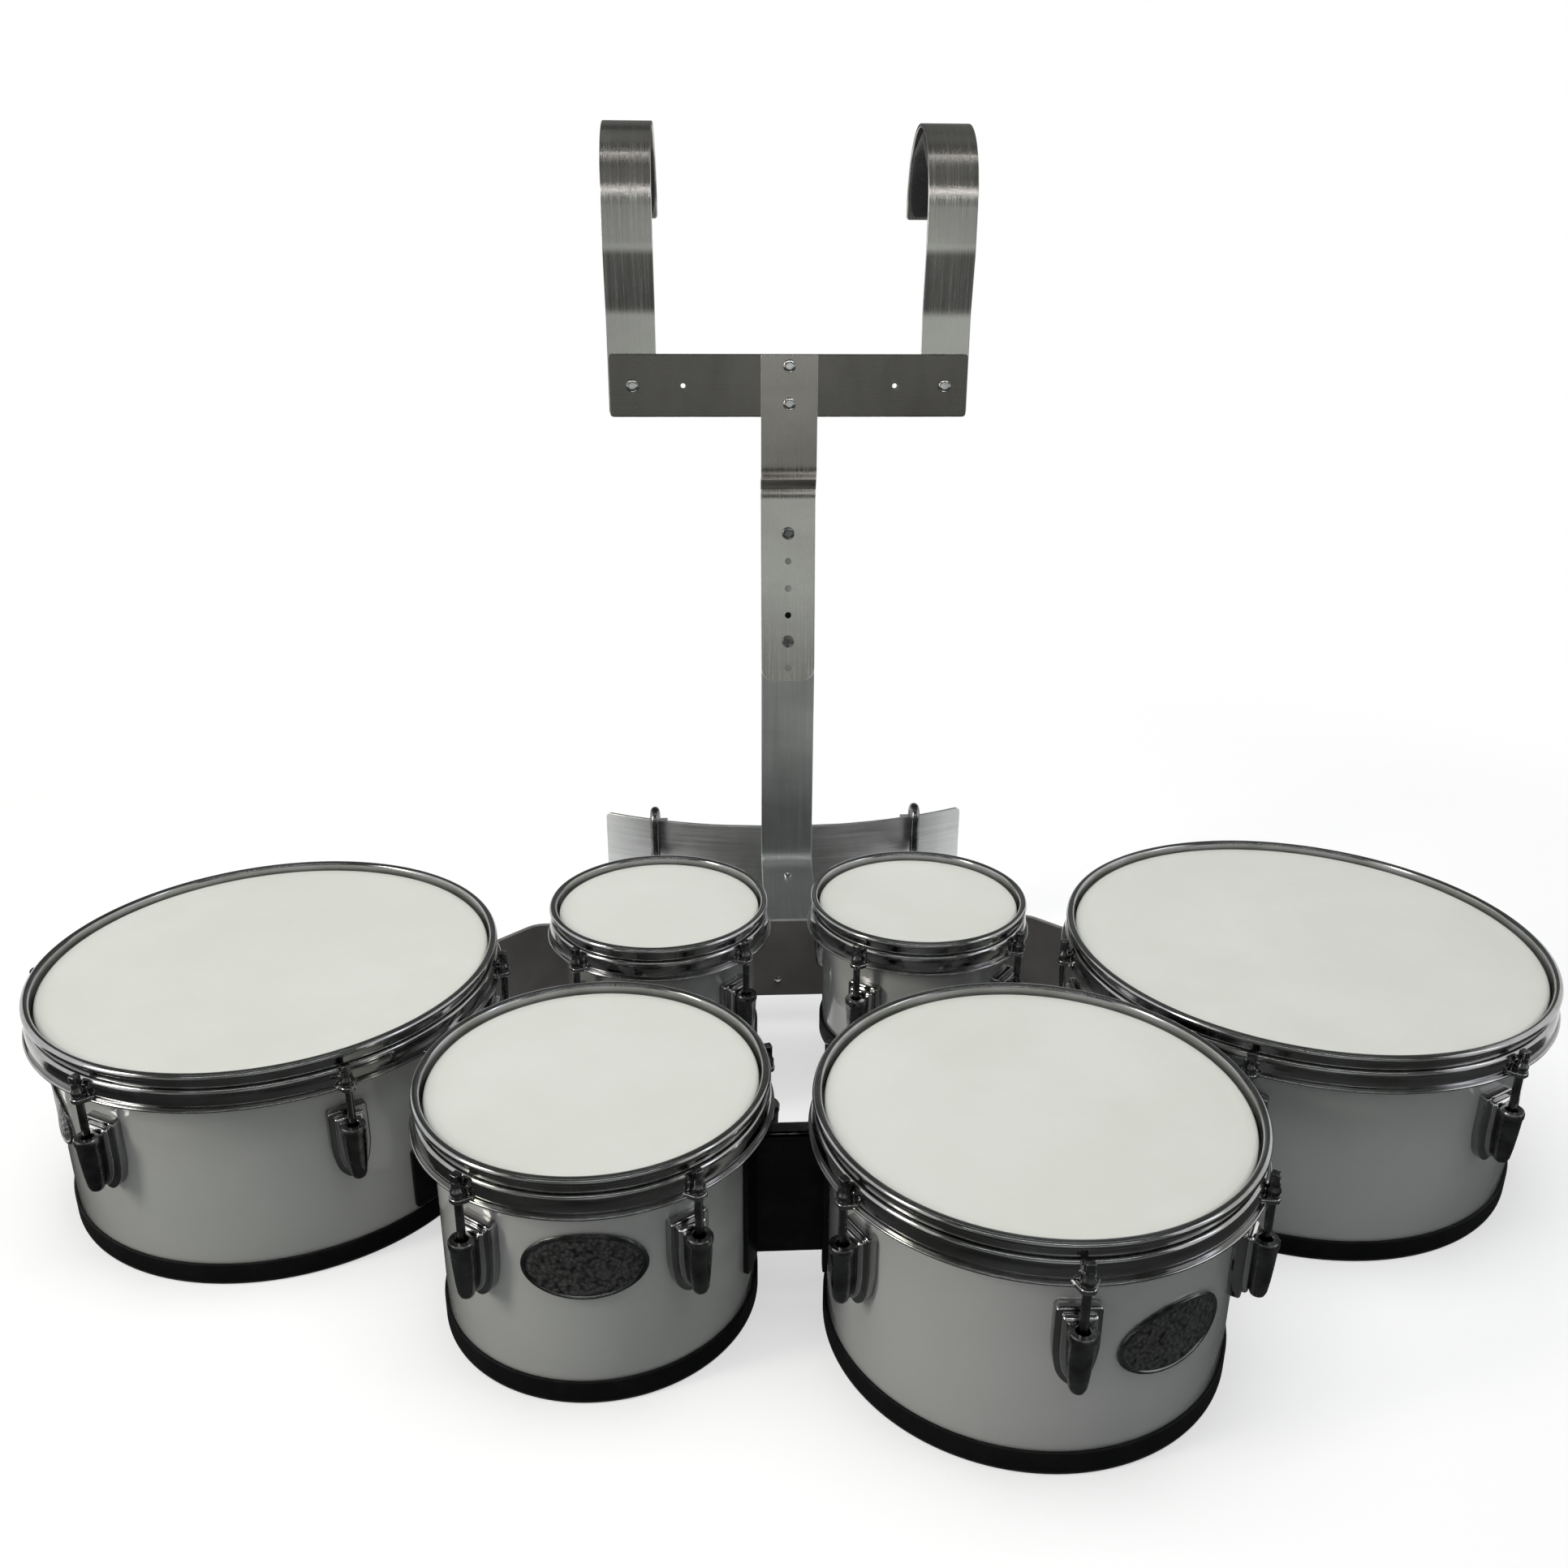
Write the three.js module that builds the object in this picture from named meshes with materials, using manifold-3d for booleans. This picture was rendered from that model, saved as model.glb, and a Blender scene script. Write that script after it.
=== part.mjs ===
// Marching tenor drums: six single-headed drums on a frame, with a shoulder carrier hooked on behind.
// Millimetres. X is the audience's right, Y points to the player, Z is up. The big drums stand on the floor.
import * as THREE from 'three';
import { mergeVertices } from 'three/addons/utils/BufferGeometryUtils.js';
import Module from 'manifold-3d';

const wasm = await Module();
wasm.setup();

// Drum sizes, in inches across the shell
const inch = 25.4;
const leftSize = 12;
const rightSize = 13;
const frontLeftSize = 8;
const frontRightSize = 10;
const smallSize = 6;

// Heights of a drum from its lower edge to the top of its hoop
const mainHeight = 168;
const smallHeight = mainHeight - 44;

// Layout of the six drums
const frontGap = 46.1;
const leftGap = 42.2;
const rightGap = 28;
const smallGap = 53.6;
const frontLeftY = -163.5;
const frontRightY = -202;
const frameY = 168;
const smallMountGap = 12.8;

// Clearances
const seatGap = 0.3;
const slideGap = 0.5;

// Shell and edge trim
const shellUndersize = 1;
const shellWall = 6;
const bearingWidth = 1.5;
const trimHeight = 16;
const trimWall = 1.8;
const trimLip = 2.5;

// Head: film with a collar, crimped into a flesh hoop
const headDepth = 5;
const filmThick = 0.6;
const collarReach = 2.2;
const fleshWidth = 4.5;
const fleshTop = 13;
const fleshHeight = 6.5;

// Triple-flanged counter hoop
const hoopHeight = 26;
const hoopSheet = 2;
const hoopMouth = 4;
const topFlange = 3.4;
const lowFlange = 2.5;
const earReach = 4.6;
const earWidth = 13;
const earThick = 4;

// Tension rods and lugs
const rodOffset = 14;
const rodRadius = 2.6;
const rodEnd = 72;
const washerRadius = 4.4;
const washerThick = 3;
const keyHeadRadius = 3.2;
const keyHeadTop = 7;
const lugTop = 45;
const lugShoulder = 74;
const lugBottom = 100;
const lugWidth = 26;
const lugCorner = 3;
const lugPadDepth = 9;
const lugMouth = 52;
const lugBarrel = 7.6;
const lugBarrelEnd = 93;
const lugBore = 3.2;
const lugBoreDepth = 26;

// Oval badge
const badgeWidth = 72;
const badgeHeight = 50;
const badgeThick = 2.2;
const badgeSides = 48;
const badgeDrops = { left: 74, front_left: 67, front_right: 83 };
const badgeAngles = { left: -149, front_left: -90, front_right: -63 };

// Frame
const frameThick = 4;
const wingAngle = 45;
const frameHeight = 74;
const frameBottom = mainHeight - trimHeight - 11;
const frameTop = frameBottom - frameHeight;
const frameBend = 20;
const bracketThick = 3;
const saddleHalf = 24;
const bridgeTop = 39;
const bridgeBottom = frameBottom - 11;
const bridgeFlange = 11;
const bridgeY = -181;
const sideBottom = frameBottom + 8;
const sideTop = lugBottom + 2;
const smallMountWidth = 30;
const rivetX = -4.5;
const rivetDrop = frameTop + 58;
const rivetRadius = 3.4;
const rivetHead = 1.6;

// Belly plate, pad and receivers
const carrierX = 8;
const bellyRadius = 368;
const bellySides = 160;
const bellyHalf = 170;
const bellyTop = 22;
const bellyBottom = 115;
const sheet = 3;
const bellyCornerRadius = 5;
const padThick = 14;
const padHalf = bellyHalf - 74;
const receiverWidth = 22;
const receiverTop = 28;
const receiverBottom = 54;
const bellyScrewDrop = 32;

// Hook rods and their clamps
const hookSpacing = 2 * (bellyHalf - 47);
const hookRodRadius = 4.5;
const hookBend = 15;
const hookRun = 62;
const hookRoom = 2.4;
const hookLift = 0.6;
const clampWidth = 26;
const clampDepth = 22;
const clampHeight = 40;
const clampBottom = frameBottom - 8;
const clampTop = clampBottom - clampHeight;
const hookRodFoot = clampBottom + 13;
const hookTail = 50;
const wingReach = 15;
const wingHub = 5.5;
const screwRadius = 3;

// Shoulder hooks and cross plate, heights measured up from the hoop tops
const crossWidth = 296;
const crossHeight = 50;
const crossCorner = 3;
const shoulderSpacing = 258;
const spareSpacing = 175;
const spareRadius = 2;
const shoulderWidth = 40;
const shoulderApex = 575;
const shoulderDepth = 126;
const shoulderEnd = shoulderApex - 70;
const shoulderJog = 8;
const chestTop = shoulderApex - 175;
const jogLow = chestTop + 32;
const jogHigh = shoulderApex - 95;
const archSteps = 10;
const crossScrews = [chestTop - 9, chestTop - 39];
const liningThick = 11;
const liningStart = shoulderApex - 87;

// Posts: the upper one's bends and holes hang from the cross plate, and the lower one ends behind it
const postWidth = 47;
const postBend = 22;
const postLean = 5;
const postY = 262.5;
const chestY = 264;
const offsetHigh = chestTop - 97;
const offsetLow = offsetHigh - 15;
const holePitch = 23.4;
const holeRadius = 2.8;
const holeCount = 6;
const firstHole = offsetLow - 36;
const boltedHoles = [0, 4];
const slotCornerSpare = 0.01;
const slotDown = holePitch / 2;
const slotUp = 1.5 * holePitch;
const lowerPostTop = firstHole + slotUp + 12;
const footRadius = 12;
const upperPostFoot = firstHole - (holeCount - 1) * holePitch - footRadius;
const postJoint = upperPostFoot - 3;
const bellyPostY = 268;
const tongueGap = 1;
const tongueDrop = frameTop + 9;
const bellyBendUp = 19 - tongueDrop;
const tongueScrewY = 244;
const tongueScrewHead = 3.7;
const clampPlateWidth = 24;
const clampPlateThick = 2;
const clampPlateEnd = 12;
const boltRadius = 2.4;
const boltHead = 5.4;
const boltHeadThick = 3;
const boltNut = 4.5;

// Colours
const lacquer = new THREE.MeshStandardMaterial({ color: 0xe6e6e8, roughness: 0.15, metalness: 0 });
const chrome = new THREE.MeshStandardMaterial({ color: 0xc9cacc, roughness: 0.12, metalness: 1 });
const film = new THREE.MeshStandardMaterial({ color: 0xe3e5e0, roughness: 0.5, metalness: 0 });
const rubber = new THREE.MeshStandardMaterial({ color: 0x141416, roughness: 0.7, metalness: 0 });
const paintedSteel = new THREE.MeshStandardMaterial({ color: 0x2b2b2e, roughness: 0.45, metalness: 0.3 });
const brushed = new THREE.MeshStandardMaterial({ color: 0x9a9b9c, roughness: 0.35, metalness: 1 });
const foam = new THREE.MeshStandardMaterial({ color: 0x18181a, roughness: 0.95, metalness: 0 });
const badgeMetal = new THREE.MeshStandardMaterial({ color: 0x3c3f42, roughness: 0.4, metalness: 0.8 });

// A closed three.js geometry as a solid, with its faces pointing out
function solidOf(geometry) {
  const bare = geometry.clone();
  bare.deleteAttribute('normal');
  bare.deleteAttribute('uv');
  const merged = mergeVertices(bare, 1e-4);
  const position = merged.attributes.position;
  const corner = (i) => new THREE.Vector3().fromBufferAttribute(position, i);
  const faces = [];
  let volume = 0;
  for (let i = 0; i < merged.index.count; i += 3) {
    const [a, b, c] = [0, 1, 2].map((k) => merged.index.getX(i + k));
    if (a !== b && b !== c && c !== a) {
      faces.push([a, b, c]);
      volume += corner(a).dot(corner(b).cross(corner(c)));
    }
  }
  const outward = volume > 0 ? faces : faces.map(([a, b, c]) => [a, c, b]);
  return new wasm.Manifold(new wasm.Mesh({
    numProp: 3,
    vertProperties: new Float32Array(position.array),
    triVerts: new Uint32Array(outward.flat()),
  }));
}

function geometryOf(solid) {
  const mesh = solid.getMesh();
  const geometry = new THREE.BufferGeometry();
  geometry.setAttribute('position', new THREE.BufferAttribute(new Float32Array(mesh.vertProperties), 3));
  geometry.setIndex(new THREE.BufferAttribute(new Uint32Array(mesh.triVerts), 1));
  return geometry.toNonIndexed();
}

const union = (solids) => solids.reduce((sum, solid) => sum.add(solid));
const radians = THREE.MathUtils.degToRad;

function part(name, solid, material) {
  const geometry = geometryOf(solid);
  geometry.computeVertexNormals();
  const mesh = new THREE.Mesh(geometry, material);
  mesh.name = name;
  return mesh;
}

// A profile of [radius, height] pairs turned about the Z axis
function revolve(profile, sides) {
  const points = profile.map(([radius, height]) => new THREE.Vector2(radius, height));
  return solidOf(new THREE.LatheGeometry(points, sides).rotateX(Math.PI / 2));
}

// A ring's profile is closed by repeating its first point
const ring = (profile, sides) => revolve([...profile, profile[0]], sides);
const disc = (radius, low, high, sides) => revolve([[0, low], [radius, low], [radius, high], [0, high]], sides);

// A flat outline raised along Z
function prism(shape, low, high, curveSegments = 10) {
  const geometry = new THREE.ExtrudeGeometry(shape, { depth: high - low, bevelEnabled: false, curveSegments });
  return solidOf(geometry.translate(0, 0, low));
}

function outline(points) {
  return new THREE.Shape(points.map(([x, y]) => new THREE.Vector2(x, y)));
}

function roundedRect(width, height, radius) {
  const [w, h] = [width / 2, height / 2];
  const shape = new THREE.Shape();
  shape.absarc(w - radius, h - radius, radius, 0, Math.PI / 2);
  shape.absarc(-w + radius, h - radius, radius, Math.PI / 2, Math.PI);
  shape.absarc(-w + radius, -h + radius, radius, Math.PI, 1.5 * Math.PI);
  shape.absarc(w - radius, -h + radius, radius, 1.5 * Math.PI, 2 * Math.PI);
  return shape;
}

function block(low, high) {
  const size = high.map((value, k) => value - low[k]);
  const middle = high.map((value, k) => (value + low[k]) / 2);
  return solidOf(new THREE.BoxGeometry(...size).translate(...middle));
}

// Turns a geometry so that its own X and Y run along the two given directions
function oriented(geometry, xAxis, yAxis) {
  const zAxis = new THREE.Vector3().crossVectors(xAxis, yAxis);
  return geometry.applyMatrix4(new THREE.Matrix4().makeBasis(xAxis, yAxis, zAxis));
}

const alongX = new THREE.Vector3(1, 0, 0);
const alongY = new THREE.Vector3(0, 1, 0);
const alongZ = new THREE.Vector3(0, 0, 1);

// A cylinder along Y from one y to another
function crossPin(radius, x, z, fromY, toY, sides = 8) {
  const geometry = new THREE.CylinderGeometry(radius, radius, toY - fromY, sides);
  return solidOf(geometry.translate(x, (fromY + toY) / 2, z));
}

// Rounds each inner corner of a polyline with an arc of the given radius
function bentPath(points, radius, steps = 3) {
  const corners = points.map(([a, b]) => new THREE.Vector2(a, b));
  const path = [corners[0]];
  for (let i = 1; i < corners.length - 1; i += 1) {
    const back = corners[i - 1].clone().sub(corners[i]).normalize();
    const ahead = corners[i + 1].clone().sub(corners[i]).normalize();
    const half = Math.acos(THREE.MathUtils.clamp(back.dot(ahead), -1, 1)) / 2;
    const cut = radius / Math.tan(half);
    const start = corners[i].clone().addScaledVector(back, cut);
    const end = corners[i].clone().addScaledVector(ahead, cut);
    const arc = new THREE.QuadraticBezierCurve(start, corners[i], end);
    path.push(...arc.getPoints(steps));
  }
  path.push(corners[corners.length - 1]);
  return path;
}

// The outline of a sheet of even thickness that follows a path
function sheetOutline(path, thickness) {
  const side = (sign) => path.map((point, i) => {
    const before = path[Math.max(i - 1, 0)];
    const after = path[Math.min(i + 1, path.length - 1)];
    const along = after.clone().sub(before).normalize();
    return [point.x - sign * along.y * thickness / 2, point.y + sign * along.x * thickness / 2];
  });
  return outline([...side(1), ...side(-1).reverse()]);
}

// A strip of sheet bent along a path in the Y-Z plane, centred on x
function strip(path, thickness, width, x) {
  const shape = sheetOutline(path, thickness);
  const geometry = new THREE.ExtrudeGeometry(shape, { depth: width, bevelEnabled: false });
  return solidOf(oriented(geometry.translate(0, 0, -width / 2), alongY, alongZ).translate(x, 0, 0));
}

// Everything about one drum that follows from its size and place
function drumOf(name, size, x, y, height, lugs, firstLug, sides) {
  const radius = size * inch / 2;
  const shell = radius - shellUndersize;
  const lugAngles = Array.from({ length: lugs }, (_, k) => firstLug + k * 360 / lugs);
  return { name, radius, shell, x, y, height, lugAngles, sides };
}

const hoopTop = mainHeight;
const radiusOf = (size) => size * inch / 2;
const offsetX = (reach, rise) => Math.sqrt(reach ** 2 - rise ** 2);
const frontReach = radiusOf(frontLeftSize) + radiusOf(frontRightSize) + frontGap;
const frontX = offsetX(frontReach, frontLeftY - frontRightY) / 2;
const leftX = -frontX - offsetX(radiusOf(leftSize) + radiusOf(frontLeftSize) + leftGap, frontLeftY);
const rightX = frontX + offsetX(radiusOf(rightSize) + radiusOf(frontRightSize) + rightGap, frontRightY);
const smallX = radiusOf(smallSize) + smallGap / 2;
const smallY = frameY - frameThick / 2 - smallMountGap - radiusOf(smallSize);

const drums = {
  left: drumOf('left', leftSize, leftX, 0, mainHeight, 6, -118, 26),
  right: drumOf('right', rightSize, rightX, 0, mainHeight, 6, -62, 26),
  front_left: drumOf('front_left', frontLeftSize, -frontX, frontLeftY, mainHeight, 5, -127, 22),
  front_right: drumOf('front_right', frontRightSize, frontX, frontRightY, mainHeight, 6, -151.5, 24),
  small_left: drumOf('small_left', smallSize, -smallX, smallY, smallHeight, 4, -42, 18),
  small_right: drumOf('small_right', smallSize, smallX, smallY, smallHeight, 4, -38, 18),
};

// Heights on a drum are measured down from the top of its hoop
function shellSolid(drum) {
  const low = -drum.height + trimLip + seatGap;
  const edge = -headDepth - filmThick - seatGap;
  const inner = drum.shell - shellWall;
  const wall = ring([
    [inner, low],
    [drum.shell, low],
    [drum.shell, edge - shellWall + bearingWidth],
    [inner + bearingWidth, edge],
    [inner, edge],
  ], drum.sides);
  const lugs = drum.lugAngles.map((angle) => lugSolid(drum).rotate([0, 0, angle]));
  const bore = disc(inner, low - 1, edge + 1, drum.sides);
  return union([wall, ...lugs]).subtract(bore);
}

// The lug's pad, seen from the front: square shoulders with cut corners, and a round foot
function lugOutline() {
  const half = lugWidth / 2;
  const shape = new THREE.Shape();
  shape.moveTo(lugCorner - half, -lugTop);
  shape.lineTo(half - lugCorner, -lugTop);
  shape.lineTo(half, -lugTop - lugCorner);
  shape.lineTo(half, -lugShoulder);
  shape.quadraticCurveTo(half, -lugBottom, 0, -lugBottom);
  shape.quadraticCurveTo(-half, -lugBottom, -half, -lugShoulder);
  shape.lineTo(-half, -lugTop - lugCorner);
  return shape;
}

// The pad stands on the shell with a bullet-shaped barrel in front, bored for the tension rod
function lugSolid(drum) {
  const depth = lugPadDepth + shellWall;
  const raised = new THREE.ExtrudeGeometry(lugOutline(), { depth, bevelEnabled: false, curveSegments: 2 });
  const pad = solidOf(oriented(raised, alongY, alongZ).translate(drum.radius + lugPadDepth - depth, 0, 0));
  const rod = drum.radius + rodOffset;
  const barrel = revolve([
    [0, -lugBarrelEnd],
    [lugBarrel * 0.55, -lugBarrelEnd + 2],
    [lugBarrel * 0.85, -lugBarrelEnd + 12],
    [lugBarrel, -lugMouth],
    [0, -lugMouth],
  ], 6).translate([rod, 0, 0]);
  const bore = disc(lugBore, -lugMouth - lugBoreDepth, -lugTop + 5, 6).translate([rod, 0, 0]);
  return pad.add(barrel).subtract(bore);
}

// Rubber edge trim with a lip under the shell
function trimSolid(drum) {
  const low = -drum.height;
  const shell = drum.shell + seatGap;
  return ring([
    [drum.shell - shellWall, low],
    [shell + trimWall, low],
    [shell + trimWall, low + trimHeight],
    [shell, low + trimHeight],
    [shell, low + trimLip],
    [drum.shell - shellWall, low + trimLip],
  ], drum.sides);
}

function headSolid(drum) {
  const collar = drum.radius + collarReach;
  return revolve([
    [0, -headDepth - filmThick],
    [collar - filmThick, -headDepth - filmThick],
    [collar - filmThick, -fleshTop - fleshHeight],
    [collar + fleshWidth, -fleshTop - fleshHeight],
    [collar + fleshWidth, -fleshTop],
    [collar, -fleshTop],
    [collar, -headDepth],
    [0, -headDepth],
  ], drum.sides);
}

// The hoop's section runs from the rolled top flange, over the flesh hoop, out to the low flange with its ears
function hoopSolid(drum) {
  const mouth = drum.radius + hoopMouth;
  const skirt = drum.radius + collarReach + fleshWidth + slideGap;
  const ledge = -fleshTop + seatGap;
  const band = ring([
    [mouth, 0],
    [mouth, ledge],
    [skirt, ledge],
    [skirt, -hoopHeight],
    [skirt + hoopSheet + lowFlange, -hoopHeight],
    [skirt + hoopSheet, -hoopHeight + 2 * hoopSheet],
    [skirt + hoopSheet, ledge],
    [mouth + hoopSheet, ledge + 2 * hoopSheet],
    [mouth + hoopSheet + topFlange, -hoopSheet],
  ], drum.sides);
  const fittings = drum.lugAngles.map((angle) => rodSolid(drum, skirt).rotate([0, 0, angle]));
  return union([band, ...fittings]);
}

// An ear of the hoop with its tension rod, washer and square key head
function rodSolid(drum, skirt) {
  const rod = drum.radius + rodOffset;
  const root = skirt + hoopSheet / 2;
  const [half, end] = [earWidth / 2, rod + earReach];
  const tab = prism(
    outline([[root, -half], [end, -half / 2], [end, half / 2], [root, half]]),
    -hoopHeight,
    -hoopHeight + earThick,
  );
  const earTop = -hoopHeight + earThick;
  const shaft = revolve([
    [0, -rodEnd],
    [rodRadius, -rodEnd],
    [rodRadius, earTop - 1],
    [washerRadius, earTop - 1],
    [washerRadius, earTop + washerThick],
    [keyHeadRadius, -keyHeadTop],
    [0, -keyHeadTop],
  ], 6).translate([rod, 0, 0]);
  return tab.add(shaft);
}

// An oval plate bent to the shell
function badgeSolid(drum) {
  const oval = new THREE.Shape();
  oval.absellipse(0, 0, badgeWidth / 2, badgeHeight / 2, 0, 2 * Math.PI);
  const options = { depth: 2 * drum.shell, bevelEnabled: false, curveSegments: 10 };
  const geometry = new THREE.ExtrudeGeometry(oval, options);
  const beam = solidOf(oriented(geometry, alongY, alongZ)).translate([0, 0, -badgeDrops[drum.name]]);
  const back = (drum.shell + seatGap) / Math.cos(Math.PI / badgeSides);
  const hollow = disc(back, -mainHeight, 0, badgeSides);
  return beam.intersect(disc(back + badgeThick, -mainHeight, 0, badgeSides)).subtract(hollow);
}

function drumGroup(drum) {
  const group = new THREE.Group();
  group.position.set(drum.x, drum.y, hoopTop);
  group.add(part(`${drum.name}_shell`, shellSolid(drum), lacquer));
  group.add(part(`${drum.name}_edge_trim`, trimSolid(drum), rubber));
  group.add(part(`${drum.name}_head`, headSolid(drum), film));
  group.add(part(`${drum.name}_hoop`, hoopSolid(drum), chrome));
  if (drum.name in badgeAngles) {
    const badge = part(`${drum.name}_badge`, badgeSolid(drum), badgeMetal);
    badge.rotation.z = radians(badgeAngles[drum.name]);
    group.add(badge);
  }
  return group;
}

// A curved flange that lies on a drum's shell, facing a direction in degrees
function saddle(drum, facing, half, top, bottom, thickness) {
  const steps = 4;
  const spread = half / drum.shell;
  const inner = (drum.shell + seatGap) / Math.cos(spread / steps);
  const shape = new THREE.Shape();
  const middle = radians(facing);
  shape.absarc(drum.x, drum.y, inner, middle - spread, middle + spread, false);
  shape.absarc(drum.x, drum.y, inner + thickness, middle + spread, middle - spread, true);
  return prism(shape, hoopTop - bottom, hoopTop - top, steps);
}

// A straight web between two points on the plan, upright, of even thickness
function web(from, to, thickness, top, bottom) {
  const path = [new THREE.Vector2(...from), new THREE.Vector2(...to)];
  return prism(sheetOutline(path, thickness), hoopTop - bottom, hoopTop - top);
}

const headingTo = (from, to) => THREE.MathUtils.radToDeg(Math.atan2(to.y - from.y, to.x - from.x));
const onShell = (drum, facing, out) => [
  drum.x + (drum.shell + out) * Math.cos(radians(facing)),
  drum.y + (drum.shell + out) * Math.sin(radians(facing)),
];

// Two saddles joined by a web along the line between two drums
function sideBracket(name, first, second) {
  const there = headingTo(first, second);
  const back = headingTo(second, first);
  const seat = seatGap + bracketThick / 2;
  return part(name, union([
    saddle(first, there, saddleHalf, sideTop, sideBottom, bracketThick),
    saddle(second, back, saddleHalf, sideTop, sideBottom, bracketThick),
    web(onShell(first, there, seat), onShell(second, back, seat), bracketThick, sideTop, sideBottom),
  ]), paintedSteel);
}

// A channel between the front drums: an upright web with a flange along its top and saddles at its ends
function frontBridge() {
  const [left, right] = [drums.front_left, drums.front_right];
  const seat = seatGap + bracketThick / 2;
  const edge = (drum, y) => offsetX(drum.shell + seat, y - drum.y);
  const facing = (drum, y, side) => headingTo(drum, { x: drum.x + side * edge(drum, y), y });
  const from = [left.x + edge(left, bridgeY), bridgeY];
  const to = [right.x - edge(right, bridgeY), bridgeY];
  const flange = outline([
    [left.x, bridgeY - bracketThick / 2],
    [right.x, bridgeY - bracketThick / 2],
    [right.x, bridgeY + bridgeFlange],
    [left.x, bridgeY + bridgeFlange],
  ]);
  const keepOut = [left, right].map((drum) => (
    disc(drum.shell + seatGap, -mainHeight, 0, drum.sides).translate([drum.x, drum.y, hoopTop])));
  const top = prism(flange, hoopTop - bridgeTop - bracketThick, hoopTop - bridgeTop);
  return part('front_bridge', union([
    saddle(left, facing(left, bridgeY, 1), saddleHalf, bridgeTop, bridgeBottom, bracketThick),
    saddle(right, facing(right, bridgeY, -1), saddleHalf, bridgeTop, bridgeBottom, bracketThick),
    web(from, to, bracketThick, bridgeTop, bridgeBottom),
    top.subtract(union(keepOut)),
  ]), paintedSteel);
}

// The rear plate runs straight behind the small drums, with a wing bent forward to each outer drum
function rearFrame() {
  const seat = seatGap + frameThick / 2;
  const leftBend = drums.left.x + frameY;
  const rightBend = drums.right.x - frameY;
  const leftEnd = onShell(drums.left, wingAngle, seat);
  const rightEnd = onShell(drums.right, 180 - wingAngle, seat);
  const path = bentPath([leftEnd, [leftBend, frameY], [rightBend, frameY], rightEnd], frameBend);
  const rivetHole = crossPin(rivetRadius / 2 + seatGap, rivetX, hoopTop - rivetDrop, frameY - 5, frameY + 5);
  return part('rear_frame', union([
    prism(sheetOutline(path, frameThick), hoopTop - frameBottom, hoopTop - frameTop),
    saddle(drums.left, wingAngle, saddleHalf, frameTop, frameBottom, frameThick),
    saddle(drums.right, 180 - wingAngle, saddleHalf, frameTop, frameBottom, frameThick),
  ]).subtract(rivetHole), paintedSteel);
}

// A rivet with a domed head on each face of the rear plate
function frameRivet() {
  const face = frameThick / 2 + seatGap;
  const solid = revolve([
    [0, -face - rivetHead],
    [rivetRadius * 0.6, -face - rivetHead],
    [rivetRadius, -face],
    [rivetRadius / 2, -face],
    [rivetRadius / 2, face],
    [rivetRadius, face],
    [rivetRadius * 0.6, face + rivetHead],
    [0, face + rivetHead],
  ], 10).rotate([-90, 0, 0]);
  return part('frame_rivet', solid.translate([rivetX, frameY, hoopTop - rivetDrop]), chrome);
}

// A block between a small drum and the rear plate, hollowed to the shell
function smallMount(drum) {
  const half = smallMountWidth / 2;
  const top = frameTop + 12;
  const bottom = drum.height - trimHeight - 4;
  const low = [drum.x - half, drum.y, hoopTop - bottom];
  const high = [drum.x + half, frameY - frameThick / 2 - seatGap, hoopTop - top];
  const shell = disc(drum.shell + seatGap, -drum.height, 0, drum.sides).translate([drum.x, drum.y, hoopTop]);
  return part(`${drum.name}_mount`, block(low, high).subtract(shell), paintedSteel);
}

// The belly plate lies against the lower post above its bend, and curves about an axis on the player's side
const bellyLean = (postY - bellyPostY) / (postJoint - bellyBendUp);
const postBackAt = (height) => bellyPostY + (height - bellyBendUp) * bellyLean + sheet / 2;
const bellyFront = postBackAt(bellyBendUp) + 3 * seatGap;
const bellyScrewTip = postBackAt(-bellyScrewDrop) - sheet / 2 - seatGap;
const bellyAxisY = bellyFront + bellyRadius;
const bellyYAt = (x) => bellyAxisY - offsetX(bellyRadius, x);
const hookX = (side) => carrierX + side * hookSpacing / 2;

function bentSheet(outer, thickness, half, top, bottom) {
  const spread = Math.asin(half / outer);
  const shape = new THREE.Shape();
  shape.absarc(carrierX, bellyAxisY, outer, 1.5 * Math.PI - spread, 1.5 * Math.PI + spread, false);
  shape.absarc(carrierX, bellyAxisY, outer - thickness, 1.5 * Math.PI + spread, 1.5 * Math.PI - spread, true);
  return prism(shape, hoopTop - bottom, hoopTop - top, 6);
}

function bellyPlate() {
  const hole = crossPin(holeRadius, carrierX, hoopTop - bellyScrewDrop, bellyFront - 2, bellyFront + sheet + 2);
  const face = roundedRect(2 * bellyHalf, bellyBottom - bellyTop, bellyCornerRadius);
  const raised = new THREE.ExtrudeGeometry(face, { depth: bellyHalf, bevelEnabled: false, curveSegments: 1 });
  const middle = hoopTop - (bellyTop + bellyBottom) / 2;
  const mask = solidOf(oriented(raised, alongX, alongZ)).translate([carrierX, bellyFront + bellyHalf - 1, middle]);
  const plate = bentSheet(bellyRadius, sheet, bellyHalf + 1, bellyTop, bellyBottom);
  return part('belly_plate', plate.intersect(mask).subtract(hole), brushed);
}

function bellyPad() {
  const outer = bellyRadius - sheet - seatGap;
  const padEnd = bellyFront + sheet + padThick + 6;
  const screwRoom = crossPin(boltHead + 2, carrierX, hoopTop - bellyScrewDrop, bellyFront, padEnd);
  const pad = bentSheet(outer, padThick, padHalf, bellyTop + 4, bellyBottom - 2);
  return part('belly_pad', pad.subtract(screwRoom), foam);
}

// A block behind the belly plate with a bore for the tail of a hook rod
const hookFrontY = bellyYAt(hookSpacing / 2) - hookRodRadius - hookRoom;
const hookBackY = 2 * bellyYAt(hookSpacing / 2) + sheet - hookFrontY;
const hookArc = (hookBackY - hookFrontY) / 2;

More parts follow.
